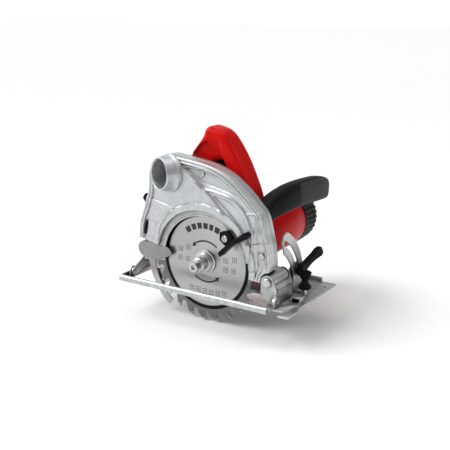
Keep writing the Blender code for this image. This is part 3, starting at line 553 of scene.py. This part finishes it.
WINDOW_RADIUS = 70.0
EYE_RADIUS = 18.6               # opening in the far wall, round the spindle boss
WALL, CREST_WALL = 2.6, 3.4     # thickness of the flat walls and of the crest
CREST_ROUND = 2.2               # radius of the crest's near edge
SMOOTH_CAST = 28.0              # faces of a casting that turn by less are shaded as one
PORT_CENTRE = np.array((-46.9, 112.0))
PORT_RADIUS = 21.5
PORT_BORE = 18.6
CONE_SIDE = [(-110, 150)] + CONE_RIDGE + [(8, 60), (-60, 60), (-110, 80)]
CONE_HEIGHT = 7.5
CONE_WAY = np.array([0.62, -0.78])      # where the cone under the port runs out


def face_relief(flat, to_edge):
    """How far the near wall stands out of its plane, from offsets to the spindle axis."""
    rise = 1.5 * soft_step(CREST_BAND - to_edge, 0.35) - ridge(to_edge - 4.0, 0.8, 0.7)
    rise -= ridge(to_edge - CREST_BAND - 0.8, 0.35, 0.5)
    rise += ridge(away_from(curve_through(INNER_RIDGE, 8), flat), 1.5, 1.3)
    for panel, depth in ((UPPER_PANEL, 1.5), (LOWER_PANEL, 1.2), (FRONT_PANEL, 1.3)):
        outline = curve_through(panel, 4, closed=True)
        rise -= depth * soft_step(within(outline, flat) - 1.0, 0.6)
    for bar in CROSS_BARS:
        rise += 0.6 * soft_step(1.3 - away_from(bar, flat), 0.45) * soft_step(to_edge - 2.0, 0.5)
    rise += 1.0 * soft_step(within(LOGO_PLATE, flat), 0.22)
    rise += 1.5 * soft_step(COLLAR_EDGE - np.linalg.norm(flat, axis=-1), 0.4)
    rise -= ridge(away_from(MAKER_GROOVE, flat), 0.55, 0.5)
    rise *= RELIEF_GAIN
    from_port = np.linalg.norm(flat - PORT_CENTRE, axis=-1)
    toward = np.clip(((flat - PORT_CENTRE) @ CONE_WAY) / np.maximum(from_port, 1.0), 0, 1)
    reach = 11.0 + 15.0 * toward
    cone = CONE_HEIGHT * np.exp(-np.maximum(from_port - PORT_RADIUS, 0.0) / reach)
    side = soft_step(within(CONE_SIDE, flat), 1.4)
    rise += cone * (0.25 + 0.75 * side) + ridge(away_from(CONE_RIDGE, flat), 2.0, 1.7)
    return np.maximum(rise * soft_step(to_edge - 0.2, 0.25), DEEPEST)


def cast_guard():
    """One closed skin over C-shaped sections that fan out round the spindle."""
    crest = np.array(list(curve_through(CREST, 15)) + list(curve_through(TOE, 8)))
    steps = np.linspace(0.0, 1.0, 80)
    reach = np.linalg.norm(crest, axis=1)
    unit = crest / reach[:, None]
    radii = WINDOW_RADIUS + (reach[:, None] - CREST_ROUND - WINDOW_RADIUS) * steps[None, :]
    flat = unit[:, None, :] * radii[..., None]
    edge = away_from(np.vstack([crest, crest[-1:] + (0.0, -30.0)]), flat)
    lift = face_relief(flat, edge)
    rings = []
    for i, far in enumerate(reach):
        near = [(r, NEAR_FACE - h) for r, h in zip(radii[i], lift[i])]
        top = near[-1][1]
        turn = [(far - CREST_ROUND * (1 - sin(a)), top + CREST_ROUND * (1 - cos(a)))
                for a in (0.5, 0.9, 1.25, pi / 2)]
        seam = [(far, -33.0), (far, -30.2), (far - 0.6, -29.9), (far - 0.6, -29.1), (far, -28.8)]
        back = [(far, FAR_FACE - 2.0), (far - 0.7, FAR_FACE - 0.6), (far - CREST_ROUND, FAR_FACE),
                (EYE_RADIUS, FAR_FACE)]
        inside = [(EYE_RADIUS, FAR_FACE - WALL), (far - CREST_WALL, FAR_FACE - WALL),
                  (far - CREST_WALL, NEAR_FACE + WALL), (WINDOW_RADIUS, NEAR_FACE + WALL)]
        rings.append([(SP[0] + unit[i][0] * r, y, SP[1] + unit[i][1] * r)
                      for r, y in near + turn + seam + back + inside])
    guard = build("guard_casting", *loft(rings), LOOKS["cast"], "housing", SMOOTH_CAST,
                  ["upper_guard"])
    carve(guard, port_solid("duct_cut", PORT_BORE, -6.0, 30.0))
    sink = [(-60.0, CORE), (-60.0, 5.4), (-43.0, 5.0), (-39.4, 5.0), (-39.4, CORE)]
    for node in ("guard_screw_top", "guard_screw_front"):
        shape = turned(sink, box_middle(node), 40)
        carve(guard, build(node + "_cut", *shape, LOOKS["cast"], None))


def carve(target, cutter, smooth_angle=SMOOTH_CAST):
    """Take one solid out of another for good."""
    change = target.modifiers.new("carve", "BOOLEAN")
    change.operation = "DIFFERENCE"
    change.solver = "EXACT"
    change.object = cutter
    graph = bpy.context.evaluated_depsgraph_get()
    result = bpy.data.meshes.new_from_object(target.evaluated_get(graph))
    target.modifiers.clear()
    target.data = result
    bpy.data.objects.remove(cutter, do_unlink=True)
    target.data.shade_smooth()
    target.data.set_sharp_from_angle(angle=radians(smooth_angle))


PORT_INWARD = Vector((0.405, 0.912, -0.056)).normalized()
PORT_MOUTH = Vector((SP[0] - 54.0, NEAR_FACE - 16.0, SP[1] + 113.0))


def port_ring(radius, reach):
    """Circle round the port's axis, at a distance inwards from its mouth."""
    side = PORT_INWARD.cross(UP).normalized()
    lift = side.cross(PORT_INWARD)
    centre = PORT_MOUTH + PORT_INWARD * reach
    return [tuple(centre + side * a + lift * b) for a, b in circle(radius, 72)]


def port_solid(name, radius, start, end):
    """Round bar along the port's axis."""
    rings = [port_ring(radius, start), port_ring(radius, end)]
    return build(name, *loft(rings), LOOKS["cast"], None)


def dust_port():
    """Thick-lipped tube with a flared foot."""
    profile = [(24.0, 18.6), (12.0, 18.5), (1.4, 18.8), (0.4, 19.3), (0.0, 20.1), (0.3, 20.9),
               (1.2, 21.4), (3.0, 21.5), (8.0, 21.7), (11.0, 22.2), (13.5, 23.2), (15.5, 24.8),
               (20.0, 24.8)]
    rings = [port_ring(radius, reach) for reach, radius in profile]
    build("dust_port_tube", *loft(rings, capped=False), LOOKS["cast"], "housing")


def guard_details():
    """Far lug and bearing boss behind the blade, slot plug, a black disc painted as the shade in a
    small hole, and the embossed square.
    """
    lug = [(-53, 15), (-57, -20), (-50, -27), (-41, -29), (-30, -22), (-23, -11), (-23, 15)]
    plate("guard_far_lug", about(SP, lug), FAR_FACE - 2.6, FAR_FACE - 0.02, LOOKS["cast"],
          "housing", 0.6)
    ring = [(-27.3, 2.8), (-27.3, 6.6), (-26.9, 7.0), (FAR_FACE - 1.0, 7.0), (FAR_FACE - 1.0, 2.8)]
    boss = turned(ring, box_middle("knife_screw"), 48)
    build("guard_knife_boss", *boss, LOOKS["cast"], "housing")
    slot = [(-86.5, 45), (-83.6, 44), (-85.0, 33), (-87.5, 25.5), (-90.8, 26.5), (-90.2, 35)]
    plate("guard_slot_plug", curve_through(about(SP, slot), 5, closed=True), NEAR_FACE - 2.0,
          NEAR_FACE + 2.0, LOOKS["black"], "housing", 0.5)
    # a black disc set into the face stands in for a small hole: painted shade
    hole = [(-42.2, CORE), (-42.2, 1.7), (-40.0, 1.7), (-40.0, CORE)]
    hole_shade_disc = turned(hole, (SP[0] - 78.0, SP[1] + 85.5), 28)
    build("guard_hole_shade_disc", *hole_shade_disc, LOOKS["ink"], "housing")
    mark = about((SP[0] + 71.0, SP[1] + 2.0), ((0, 0), (6.0, 1.0), (6.0, 7.0), (0, 6.0)))
    border_piece("guard_square_mark", mark, 0.55, NEAR_FACE - 2.3, NEAR_FACE - 1.7, LOOKS["ink"],
                 "housing")


def border_piece(name, outline, width, low, high, look, body):
    """A thin raised frame that follows a convex outline."""
    outer = np.array(outline, float)
    inward = np.mean(outer, axis=0) - outer
    inner = outer + inward / np.linalg.norm(inward, axis=1)[:, None] * width * 1.4
    rings = []
    for o, i in zip(outer, inner):
        rings.append([place("Y", y, p) for y, p in ((low, o), (low, i), (high, i), (high, o))])
    build(name, *loft(rings, closed=True), look, body)


# ---------------------------------------------------------------- lower guard and blade

RING_INNER, RING_OUTER = 61.0, 94.6     # radii of the lower guard's ring
THUMB_TAB = [(-51, 1), (-73, -8.4), (-92, -8.6), (-100, -5.5), (-104.4, 2), (-103, 9.5),
             (-95, 14.6), (-86, 12.6), (-68, 11.8), (-54, 10)]


def lower_guard():
    """Ring wall with rounded edges, rim, thumb tab, hub and spoke of the swinging guard."""
    body, look = "lower_guard", LOOKS["galvanised"]
    ring = sector(SP, RING_INNER, RING_OUTER, 8.9, 187.0, 110)
    plate("guard_ring", ring, -38.1, -36.7, look, body, 0.45, 3, ["lower_guard"])
    plate("guard_rim_wall", sector(SP, 94.0, 95.5, 9.0, 187.0, 110), -38.0, -25.9, look, body, 0.4)
    lip = sector(SP, RING_INNER, 63.2, 9.2, 186.7, 90)
    plate("guard_ring_lip", lip, -38.75, -37.0, look, body, 0.5, 3)
    tab = curve_through(about(SP, THUMB_TAB), 7, closed=True)
    # the tab takes the darker zinc copy, which is painted shade
    plate("guard_thumb_tab", tab, -39.4, -37.2, LOOKS["tab"], body, 0.7, 3)
    spoke = sector(SP, 20.5, RING_OUTER, 10.0, 34.0, 14)
    plate("guard_spoke", spoke, -27.3, -26.1, look, body, 0.3)
    hub = [(-27.6, 17.9), (-27.6, 21.6), (-27.2, 22.0), (-25.6, 22.0), (-25.6, 17.9)]
    build("guard_hub", *turned(hub, SP, 72), look, body)
    lug = sector(SP, 47.2, 63.0, 38.0, 55.0, 10)
    plate("guard_lever_lug", lug, -38.0, -36.8, look, body, 0.4)


TEETH = 24
TOOTH = [(70.3, -11.0), (72.6, -9.6), (75.6, -7.4), (78.1, -5.2), (78.8, -3.2), (79.2, -0.6),
         (76.0, -1.2), (72.6, -1.6), (70.6, -1.3), (69.4, -0.4), (69.0, 1.0), (69.4, 2.7)]
TIP = [(80.0, 0.0), (76.2, -0.95), (76.5, -2.9), (79.5, -2.3)]
PLATE_HALF, TIP_HALF = 0.8, 1.15        # half thickness of the plate and of its tips
PRINT_LIFT = 0.06
ARROW_STEPS = 18
ARROWS = ((52.0, 126.0), (232.0, 306.0))
BARS = ((128, 119), (116, 108), (105, 97), (94, 86), (83, 76), (73, 64))
SQUARES = [(-42, 8), (-30, 12), (-43, -4), (-31, -4), (27, -9), (39, -9), (27, 3), (40, 6)]
SQUARES += [(-25 + 10 * i, -44 + abs(i - 2.5) * 0.9) for i in range(6)]
SQUARE_LINE = 0.6


def saw_blade():
    """Blade plate with round gullets, 24 carbide tips and the print on its near side."""
    outline, tips = [], ([], [])
    for tooth in range(TEETH):
        start = 360.0 / TEETH * tooth
        outline += [at_angle(SP, radius, start + turn) for radius, turn in TOOTH]
        tip = [at_angle(SP, radius, start + turn) for radius, turn in TIP]
        points, faces = spread(tip, "Y", SPINDLE[1] - TIP_HALF, SPINDLE[1] + TIP_HALF)
        tips[1].extend([tuple(k + len(tips[0]) for k in face) for face in faces])
        tips[0].extend(points)
    near, far = SPINDLE[1] - PLATE_HALF, SPINDLE[1] + PLATE_HALF
    disc = spread(outline, "Y", near, far)
    build("blade_plate", *disc, LOOKS["blade"], "spindle", nodes=["saw_blade"])
    bevel(build("blade_tips", *tips, LOOKS["tooth"], "spindle"), 0.15, 1)
    blade_print(near - PRINT_LIFT)


def blade_print(level):
    """Turning arrows, plain bars in place of a name and small empty symbols."""
    points, faces = [], []

    def patch(outline):
        faces.append(tuple(range(len(points), len(points) + len(outline))))
        points.extend(place("Y", level, p) for p in about(SP, outline))

    def arc_patch(corners):
        patch([at_angle((0, 0), radius, turn) for radius, turn in corners])

    for start, end in ARROWS:
        for i in range(ARROW_STEPS):
            low, high = (start + (end - start) * k / ARROW_STEPS for k in (i, i + 1))
            arc_patch([(26.2, low), (28.4, low), (28.4, high), (26.2, high)])
        arc_patch([(23.8, end), (30.8, end), (27.2, end + 14.0)])
    for start, end in BARS:
        arc_patch([(43.6, start), (51.4, start), (51.4, end), (43.6, end)])
    for x, z in SQUARES:
        for inset, size in ((0.0, 6.4), (2.2, 2.0)):
            left, below = x + inset, z + inset
            right, above = x + inset + size, z + inset + size
            for a, b in (((left, below), (right, below + SQUARE_LINE)),
                         ((left, above - SQUARE_LINE), (right, above)),
                         ((left, below), (left + SQUARE_LINE, above)),
                         ((right - SQUARE_LINE, below), (right, above))):
                patch([a, (b[0], a[1]), b, (a[0], b[1])])
    build("blade_print_marks", points, faces, LOOKS["ink"], "spindle")


def spindle_stack():
    """Flanges and the stepped arbor bolt with its knurled washer and hex head."""
    look, body = LOOKS["bright"], "spindle"
    flange = [(-33.1, 8.2), (-33.1, 15.2), (-33.6, 15.5), (-35.2, 15.3), (-35.6, 14.6),
              (-35.6, 13.4), (-36.6, 12.9), (-38.2, 12.6), (-38.4, 11.9), (-41.2, 11.7),
              (-41.5, 11.2), (-41.5, 8.2)]
    build("flange_outer", *turned(flange, SP), look, body, nodes=["outer_flange"])
    build("arbor_washer", *turned(knurled_washer, SP, 144), look, body, nodes=["arbor_bolt"])
    neck = [(-57.0, CORE), (-57.0, 4.6), (-52.0, 4.6), (-52.0, CORE)]
    build("arbor_neck", *turned(neck, SP, 48), LOOKS["steel"], body)
    build("arbor_head", *turned(hex_head, SP, 48), look, body, 30.0)


def knurled_washer(step, _turn):
    """Profile with every second pair of steps cut back."""
    rim = 9.5 - (0.28 if step % 4 < 2 else 0.0)
    return [(-46.3, 4.0), (-46.3, 9.0), (-46.8, rim), (-50.6, rim), (-51.1, 8.8), (-51.6, 7.4),
            (-52.6, 7.2), (-52.9, 6.6), (-52.9, 4.0)]


def hex_head(_step, turn):
    """Profile of a hexagon, 12 across its flats, with a socket in its end."""
    side = 6.0 / cos((turn % (pi / 3)) - pi / 6)
    return [(-56.6, 3.0), (-56.6, side - 0.3), (-57.0, side), (-60.9, side),
            (-61.6, min(side, 6.3)), (-61.9, 5.6), (-61.9, 3.2), (-61.4, 2.9), (-58.6, 2.9),
            (-58.4, CORE)]


# ---------------------------------------------------------------- handles

OUTER = [(-4, 169), (13, 162), (31.5, 138), (46, 110), (56, 85), (60, 63), (57, 56), (41, 60),
         (5, 60), (-15, 57.5), (-49, 59), (-72, 65.5), (-80, 77), (-75, 93), (-53, 117), (-39, 131),
         (-27, 146), (-18, 158), (-13, 168.6)]
INNER = [(5, 128.5), (11, 128), (16, 122), (23, 109), (29.5, 92), (32, 85), (31.5, 81), (25, 76.8),
         (1, 75.8), (-17, 75), (-33, 78), (-39, 82), (-41, 87), (-38, 93), (-29, 104), (-20, 112),
         (-11, 119), (-4, 124), (0, 127)]
ARCH = [(-34, 134), (-21, 147), (-11, 151.5), (-1, 149.5), (7, 143), (12, 133), (19, 115),
        (24, 100), (10, 90), (-20, 85), (-45, 70), (-95, 60), (-100, 100), (-60, 136)]
TRIGGER_WAY = [(-35, 97), (-29, 91), (3, 111), (14, 119), (13, 128), (5, 134.5), (-11, 134.5)]
TRIGGER_BLADE = [(-13, 127.5), (-5, 131), (3, 131), (8.4, 125.5), (9.8, 117), (7, 110.5), (2, 108),
                 (-5, 106.8), (-12, 103), (-19, 98.3), (-26, 95.8), (-29.2, 98.8), (-25, 107),
                 (-19, 117)]
HANDLE_HALF = 17.0
ARCH_INSET = 5.0
PARTING = 0.18                  # half the gap between the two handle halves
TRIGGER_WAY_HALF = 6.4
SMOOTH_HANDLE = 42.0
SECTION_STEPS = 8               # sections between two outline points of the D handle
COVER = range(12 * SECTION_STEPS + 4, 17 * SECTION_STEPS)    # sections under the rubber
COVER_OUT, COVER_IN = 0.7, -0.8
COVER_FADE = 5                  # sections over which the rubber thins out at each end


def handle_sections():
    """Centre of each section of the D handle, and its reach towards the outer outline."""
    outer, inner = (curve_through(side, SECTION_STEPS, closed=True) for side in (OUTER, INNER))
    return (outer + inner) / 2.0, (outer - inner) / 2.0


def handle_half_width(flat):
    """Half width at each offset: the grip is set in under an arch on both faces."""
    arch = curve_through(ARCH, 6, closed=True)
    return HANDLE_HALF - ARCH_INSET * soft_step(within(arch, flat), 0.5)


def handle_half(name, side, node):
    """One half of the D handle, from the parting plane to its face."""
    turn = np.linspace(0.0, pi, 22)
    across, depth = squarer(np.cos(turn), 0.40), np.sin(turn) ** 0.40
    rings = []
    for middle, reach in zip(*handle_sections()):
        flat = middle[None, :] + across[:, None] * reach[None, :]
        rings.append([(SP[0] + p[0], HANDLE_Y + side * (PARTING + (w - PARTING) * k), SP[1] + p[1])
                      for p, w, k in zip(flat, handle_half_width(flat), depth)])
    shape = loft(rings, closed=True)
    made = build(name, *shape, LOOKS["red"], "housing", SMOOTH_HANDLE, [node])
    way = spread(about(SP, TRIGGER_WAY), "Y", HANDLE_Y - TRIGGER_WAY_HALF,
                 HANDLE_Y + TRIGGER_WAY_HALF)
    carve(made, build(name + "_way", *way, LOOKS["red"], None), SMOOTH_HANDLE)


def grip_overlay():
    """Soft black cover over the back of the grip, following the handle's sections."""
    middle, reach = handle_sections()
    turn = np.linspace(-1.02, 1.02, 25)
    across, depth = np.abs(np.cos(turn)) ** 0.5, squarer(np.sin(turn), 0.6)
    skins = []
    for step in (COVER_OUT, COVER_IN):
        rings = []
        for i in COVER:
            fade = min(i - COVER[0], COVER[-1] - i, COVER_FADE) / COVER_FADE if step > 0 else 1.0
            grow = 1.0 + step * fade / np.linalg.norm(reach[i])
            flat = middle[i][None, :] + across[:, None] * reach[i][None, :] * grow
            wide = handle_half_width(flat) + step
            rings.append([(SP[0] + p[0], HANDLE_Y + w * k, SP[1] + p[1])
                          for p, w, k in zip(flat, wide, depth)])
        skins.append(rings)
    sections = [outer + inner[::-1] for outer, inner in zip(*skins)]
    build("grip_cover", *loft(sections), LOOKS["rubber"], "housing", 40.0, ["grip_rubber"])


def trigger():
    """Curved trigger blade."""
    low, high = box_mm("trigger")
    outline = curve_through(about(SP, TRIGGER_BLADE), 5, closed=True)
    plate("trigger_blade", outline, low[1] + 0.2, high[1] - 0.2, LOOKS["black"], "trigger", 1.6, 4,
          ["trigger"])


ROUTE = [(59.0, -14.5, 103.0), (62.0, 4.0, 111.0), (67.0, 26.0, 116.5), (70.0, 52.0, 118.5),
         (71.0, 82.0, 117.5), (71.0, 112.0, 115.0), (68.5, 134.0, 110.6), (58.8, 144.2, 102.0),
         (45.0, 146.2, 90.5)]
ROUTE_HALF = [(12.4, 12.0), (12.6, 14.6), (12.3, 16.8), (12.3, 17.2), (12.3, 17.2), (12.2, 16.8),
              (11.6, 14.8), (9.0, 10.2), (8.0, 7.0)]


PANEL = (26, 55)                # steps along the route that the soft panel covers
PANEL_OUT, PANEL_IN = 0.45, -1.0        # how far the panel stands out of the bar and into it
PANEL_RUN = np.linspace(-0.95, 0.95, 15)
RIM_START, RIM_DROP = 0.9, 0.5  # the panel's long edges are let in
BAR_POWER = 0.62
SADDLE_RADIUS = 39.3            # just over the barrel that the handle sits on


def front_handle():
    """Swept stirrup handle with a soft panel let into its outer face."""
    route = curve_through(ROUTE, 9)
    half = curve_through(ROUTE_HALF, 9)
    rings, panel = [], []
    for i, centre in enumerate(route):
        ahead = Vector(route[min(i + 1, len(route) - 1)] - route[max(i - 1, 0)]).normalized()
        out = ahead.cross(UP).normalized()
        lift = out.cross(ahead)

        def skin_point(turn, grow):
            across, above = (squarer(f, BAR_POWER) for f in (cos(turn), sin(turn)))
            return tuple(Vector(centre) + out * (across * (half[i][0] + grow))
                         + lift * (above * (half[i][1] + grow)))

        rings.append([skin_point(2 * pi * k / 44, 0.0) for k in range(44)])
        if PANEL[0] <= i <= PANEL[1]:
            stand = PANEL_OUT - (0.5 if i in PANEL else 0.0)
            outer = [skin_point(a, stand - (RIM_DROP if abs(a) > RIM_START else 0.0))
                     for a in PANEL_RUN]
            panel.append(outer + [skin_point(a, PANEL_IN) for a in PANEL_RUN[::-1]])
    made = build("front_handle_bar", *loft(rings), LOOKS["black"], "housing", 50.0,
                 ["front_handle"])
    saddle = [(-30.0, CORE), (-30.0, SADDLE_RADIUS), (180.0, SADDLE_RADIUS), (180.0, CORE)]
    carve(made, build("front_handle_seat", *turned(saddle, MO, 96), LOOKS["black"], None))
    build("front_handle_panel", *loft(panel), LOOKS["rubber"], "housing", 40.0)


# ---------------------------------------------------------------- motor

CAP_RIBS = 32
CAP_ENDS = tuple(corner[1] for corner in box_mm("end_cap"))


def motor():
    """Red barrel with a stepped joint line and a black ribbed cap."""
    start, end = (corner[1] for corner in box_mm("motor_housing"))
    barrel = [(start, 34.0), (start, 38.6), (start + 0.5, 39.0), (40.0, 39.0), (41.0, 38.4),
              (42.0, 39.0), (end - 12.0, 39.0), (end - 10.0, 38.5), (end - 3.0, 38.5),
              (end - 0.6, 38.3), (end, 37.6), (end, 34.0)]
    build("barrel_shell", *turned(barrel, MO, 128), LOOKS["red"], "housing",
          nodes=["motor_housing"])
    build("cap_ribbed", *turned(cap_profile, MO, 256), LOOKS["black"], "housing", 30.0, ["end_cap"])


def cap_profile(_step, turn):
    """Profile of the end cap, which swells and sinks with its ribs."""
    rib = 1.5 * (0.5 + 0.5 * cos(CAP_RIBS * turn)) ** 0.6
    start, end = CAP_ENDS
    return [(start, 35.0), (start, 38.4), (start + 0.6, 38.9), (start + 4.2, 38.9),
            (start + 4.8, 37.4 + rib), (start + 26.0, 37.2 + rib), (end - 8.0, 36.4 + rib),
            (end - 3.6, 34.4 + rib), (end - 1.2, 31.0 + rib * 0.8), (end - 0.4, 28.0), (end, 26.0),
            (end, 10.0), (end - 0.8, 9.0), (end - 0.8, CORE)]


# ---------------------------------------------------------------- carried-over nodes

# Width of each node's rounded edges. Those in MOULDED get one more segment.
EDGE = {"bevel_quadrant": 0.5, "front_bracket": 0.5, "rear_bracket": 0.4, "depth_guide": 0.4,
        "front_pivot_lug": 0.4, "rear_pivot_lug": 0.4, "gear_case": 0.8, "bevel_lever": 1.1,
        "fence_clamp_knob": 0.9, "guard_lever": 1.0, "riving_knife": 0.35, "depth_clamp_lever": 0.9,
        "cable_gland": 0.4, "lock_off_button": 0.5, "spindle_lock_button": 0.4,
        "depth_stop_bumper": 0.5, "inner_flange": 0.3, "depth_pivot_pin": 0.4,
        "bevel_clamp_bolt": 0.4, "bevel_pin_front": 0.3, "bevel_pin_rear": 0.3,
        "depth_clamp_bolt": 0.3, "fence_clamp_screw": 0.3, "spindle": 0.3}
MOULDED = ("bevel_lever", "fence_clamp_knob", "guard_lever", "depth_clamp_lever")
SMOOTH_DRESSED = 32.0


def dressed(node, width, segments):
    """A copy of a CAD node with its edges rounded and its flat faces whole."""
    source = frame["nodes"][node]
    mesh = source.data.copy()
    mesh.transform(source.matrix_world)
    grid = bmesh.new()
    grid.from_mesh(mesh)
    bmesh.ops.remove_doubles(grid, verts=grid.verts, dist=WELD)
    bmesh.ops.dissolve_limit(grid, angle_limit=radians(0.6), verts=grid.verts, edges=grid.edges)
    grid.to_mesh(mesh)
    grid.free()
    made = link_object(node + "_finished", mesh)
    finish_piece(made, LOOKS[SLOT_OF[node]], BODY_OF[node], SMOOTH_DRESSED, [node])
    return bevel(made, width, segments, 34.0)


RECESS_LEAN, RECESS_DEPTH = radians(25.0), 1.1


def screw(node):
    """Pan head with a cross recess, on the axis of its CAD node."""
    low, high = box_mm(node)
    centre = box_middle(node)
    top, radius = low[1], (high[0] - low[0]) / 2
    depth = min(2.2, (high[1] - low[1]) * 0.8)
    profile = [(high[1], CORE), (high[1], radius * 0.5), (top + depth, radius * 0.5),
               (top + depth, radius), (top + depth * 0.55, radius),
               (top + depth * 0.2, radius * 0.86), (top + 0.02, radius * 0.5), (top, CORE)]
    head = turned(profile, centre, 48)
    made = build(node + "_head", *head, LOOKS["bright"], BODY_OF[node], 30.0, [node])
    arm, slot = radius * 0.55, radius * 0.14
    cross = [(-slot, arm), (-slot, slot), (-arm, slot), (-arm, -slot), (-slot, -slot),
             (-slot, -arm), (slot, -arm), (slot, -slot), (arm, -slot), (arm, slot), (slot, slot),
             (slot, arm)]
    lean = (cos(RECESS_LEAN), sin(RECESS_LEAN))
    leaning = [(centre[0] + x * lean[0] - z * lean[1], centre[1] + x * lean[1] + z * lean[0])
               for x, z in cross]
    recess = spread(leaning, "Y", top - 2.0, top + RECESS_DEPTH)
    carve(made, build(node + "_cross", *recess, LOOKS["bright"], None))


RAIL = [(-67.9, 0.4), (-67.9, 4.4), (-67.5, 5.9), (-66.6, 6.9), (-65.2, 7.45), (-63.6, 7.4),
        (-62.2, 6.7), (-61.3, 5.4), (-61.1, 4.4), (-62.2, 4.4), (-63.0, 5.2), (-65.2, 5.2),
        (-65.9, 4.2), (-65.9, 0.4)]


RAIL_ROOM = -60.9               # the rail's own metal ends here, along Y
RAIL_SHORT = 30.0               # the rail stops this far from the plate's front edge


def base_rail():
    """Rolled edge along the near side of the sole plate."""
    low, high = box_mm("base_plate")
    sole = dressed("base_plate", 0.9, 3)
    side, under, above = low[1] - 1.0, 0.9, high[2] + 1.0
    room = [(side, under), (RAIL_ROOM, under), (RAIL_ROOM, above), (side, above)]
    end = high[0] - RAIL_SHORT
    cutter = spread(room, "X", low[0] - 1.0, end + 0.5)
    carve(sole, build("rail_room", *cutter, LOOKS["galvanised"], None), SMOOTH_DRESSED)
    rail = spread(RAIL, "X", low[0] + 0.05, end)
    bevel(build("base_near_rail", *rail, LOOKS["galvanised"], "base", 50.0), 0.4, 2, 50.0)


def finish_rest():
    """Give every CAD node that still shows its own finish."""
    for node, thing in frame["nodes"].items():
        if not thing.hide_render:
            thing.data.materials.clear()
            thing.data.materials.append(LOOKS[SLOT_OF[node]])


# ---------------------------------------------------------------- stage

KEY_POWER = 2.6
SKY = ((0.0, 0.93), (0.05, 0.93), (0.09, 0.10), (1.0, 0.50))
SIDE_GLOW = 0.75                # extra light from the left of the saw
FLOOR_GAP, FLOOR_HALF = 1.0, 12000.0
KEY_SPOT, KEY_ANGLE = (-1000, -560, 1200), radians(45.0)
AREAS = (("rim", (700, 500, 700), 300, 1.0), ("top", (100, 300, 1200), 700, 2.0))
LIGHT_AIM = Vector((0, 0, 0.08))


def stage():
    """Wide pale floor, soft lights and a pale surround."""
    low, half = CAD_BOX[0][2] / MM - FLOOR_GAP, FLOOR_HALF
    corners = [(-half, -half, low), (half, -half, low), (half, half, low), (-half, half, low)]
    paper = plain_finish("paper", (0.88, 0.88, 0.88), (0.90, 0.90, 0.90), 0.9, 0.0, 20.0)
    floor = build("floor_sheet", corners, [(0, 1, 2, 3)], paper, None)
    bpy.context.scene.world = surround()
    lamp = bpy.data.lights.new("key", "SUN")
    lamp.energy, lamp.angle = KEY_POWER, KEY_ANGLE
    light("key", lamp, KEY_SPOT)
    for name, spot, size, power in AREAS:
        lamp = bpy.data.lights.new(name, "AREA")
        lamp.energy, lamp.size = power, size * MM
        light(name, lamp, spot)


def surround():
    """World that is bright up to the horizon, dark just above it and paler overhead."""
    world = bpy.data.worlds.new("studio")
    world.use_nodes = True
    tree = world.node_tree
    where = tree.nodes.new("ShaderNodeTexCoord")
    parts = tree.nodes.new("ShaderNodeSeparateXYZ")
    ramp = tree.nodes.new("ShaderNodeValToRGB")
    tree.links.new(where.outputs["Generated"], parts.inputs["Vector"])
    tree.links.new(parts.outputs["Z"], ramp.inputs["Fac"])
    while len(ramp.color_ramp.elements) < len(SKY):
        ramp.color_ramp.elements.new(0.5)
    for element, (height, level) in zip(ramp.color_ramp.elements, SKY):
        element.position = height
        element.color = (level, level, level, 1.0)
    side = tree.nodes.new("ShaderNodeMapRange")
    side.inputs["From Min"].default_value = 0.1
    side.inputs["From Max"].default_value = -1.0
    side.inputs["To Max"].default_value = SIDE_GLOW
    tree.links.new(parts.outputs["X"], side.inputs["Value"])
    both = tree.nodes.new("ShaderNodeMath")
    tree.links.new(ramp.outputs["Color"], both.inputs[0])
    tree.links.new(side.outputs["Result"], both.inputs[1])
    tree.links.new(both.outputs[0], tree.nodes["Background"].inputs["Color"])
    return world


def light(name, lamp, spot):
    """A lamp at a spot, turned to the middle of the saw."""
    thing = link_object(name, lamp)
    thing.location = Vector(spot) * MM
    thing.rotation_euler = (LIGHT_AIM - thing.location).to_track_quat("-Z", "Y").to_euler()


CAMERA_TURN, CAMERA_RISE, CAMERA_AWAY = radians(32.2), radians(16.1), 962.0
CAMERA_AIM = (17.6, -32.0, 90.0)
LENS, SENSOR = 61.76, 36.0


def camera():
    """The photograph's view."""
    back = Vector((sin(CAMERA_TURN) * cos(CAMERA_RISE), -cos(CAMERA_TURN) * cos(CAMERA_RISE),
                   sin(CAMERA_RISE)))
    lens = bpy.data.cameras.new("view")
    lens.lens, lens.sensor_width = LENS, SENSOR
    thing = link_object("view", lens)
    thing.location = (Vector(CAMERA_AIM) + back * CAMERA_AWAY) * MM
    thing.rotation_euler = (-back).to_track_quat("-Z", "Y").to_euler()
    bpy.context.scene.camera = thing
    bpy.context.scene.view_settings.view_transform = "Standard"


def dress_all():
    """Build every visual piece."""
    cast_guard()
    dust_port()
    guard_details()
    lower_guard()
    saw_blade()
    spindle_stack()
    handle_half("handle_near_half", -1.0, "handle_shell_left")
    handle_half("handle_far_half", 1.0, "handle_shell_right")
    grip_overlay()
    trigger()
    front_handle()
    motor()
    for node in ("guard_screw_top", "guard_screw_front", "guard_lever_screw", "knife_screw"):
        screw(node)
    for node, width in EDGE.items():
        dressed(node, width, 3 if node in MOULDED else 2)
    base_rail()
    finish_rest()


dress_all()
stage()
camera()
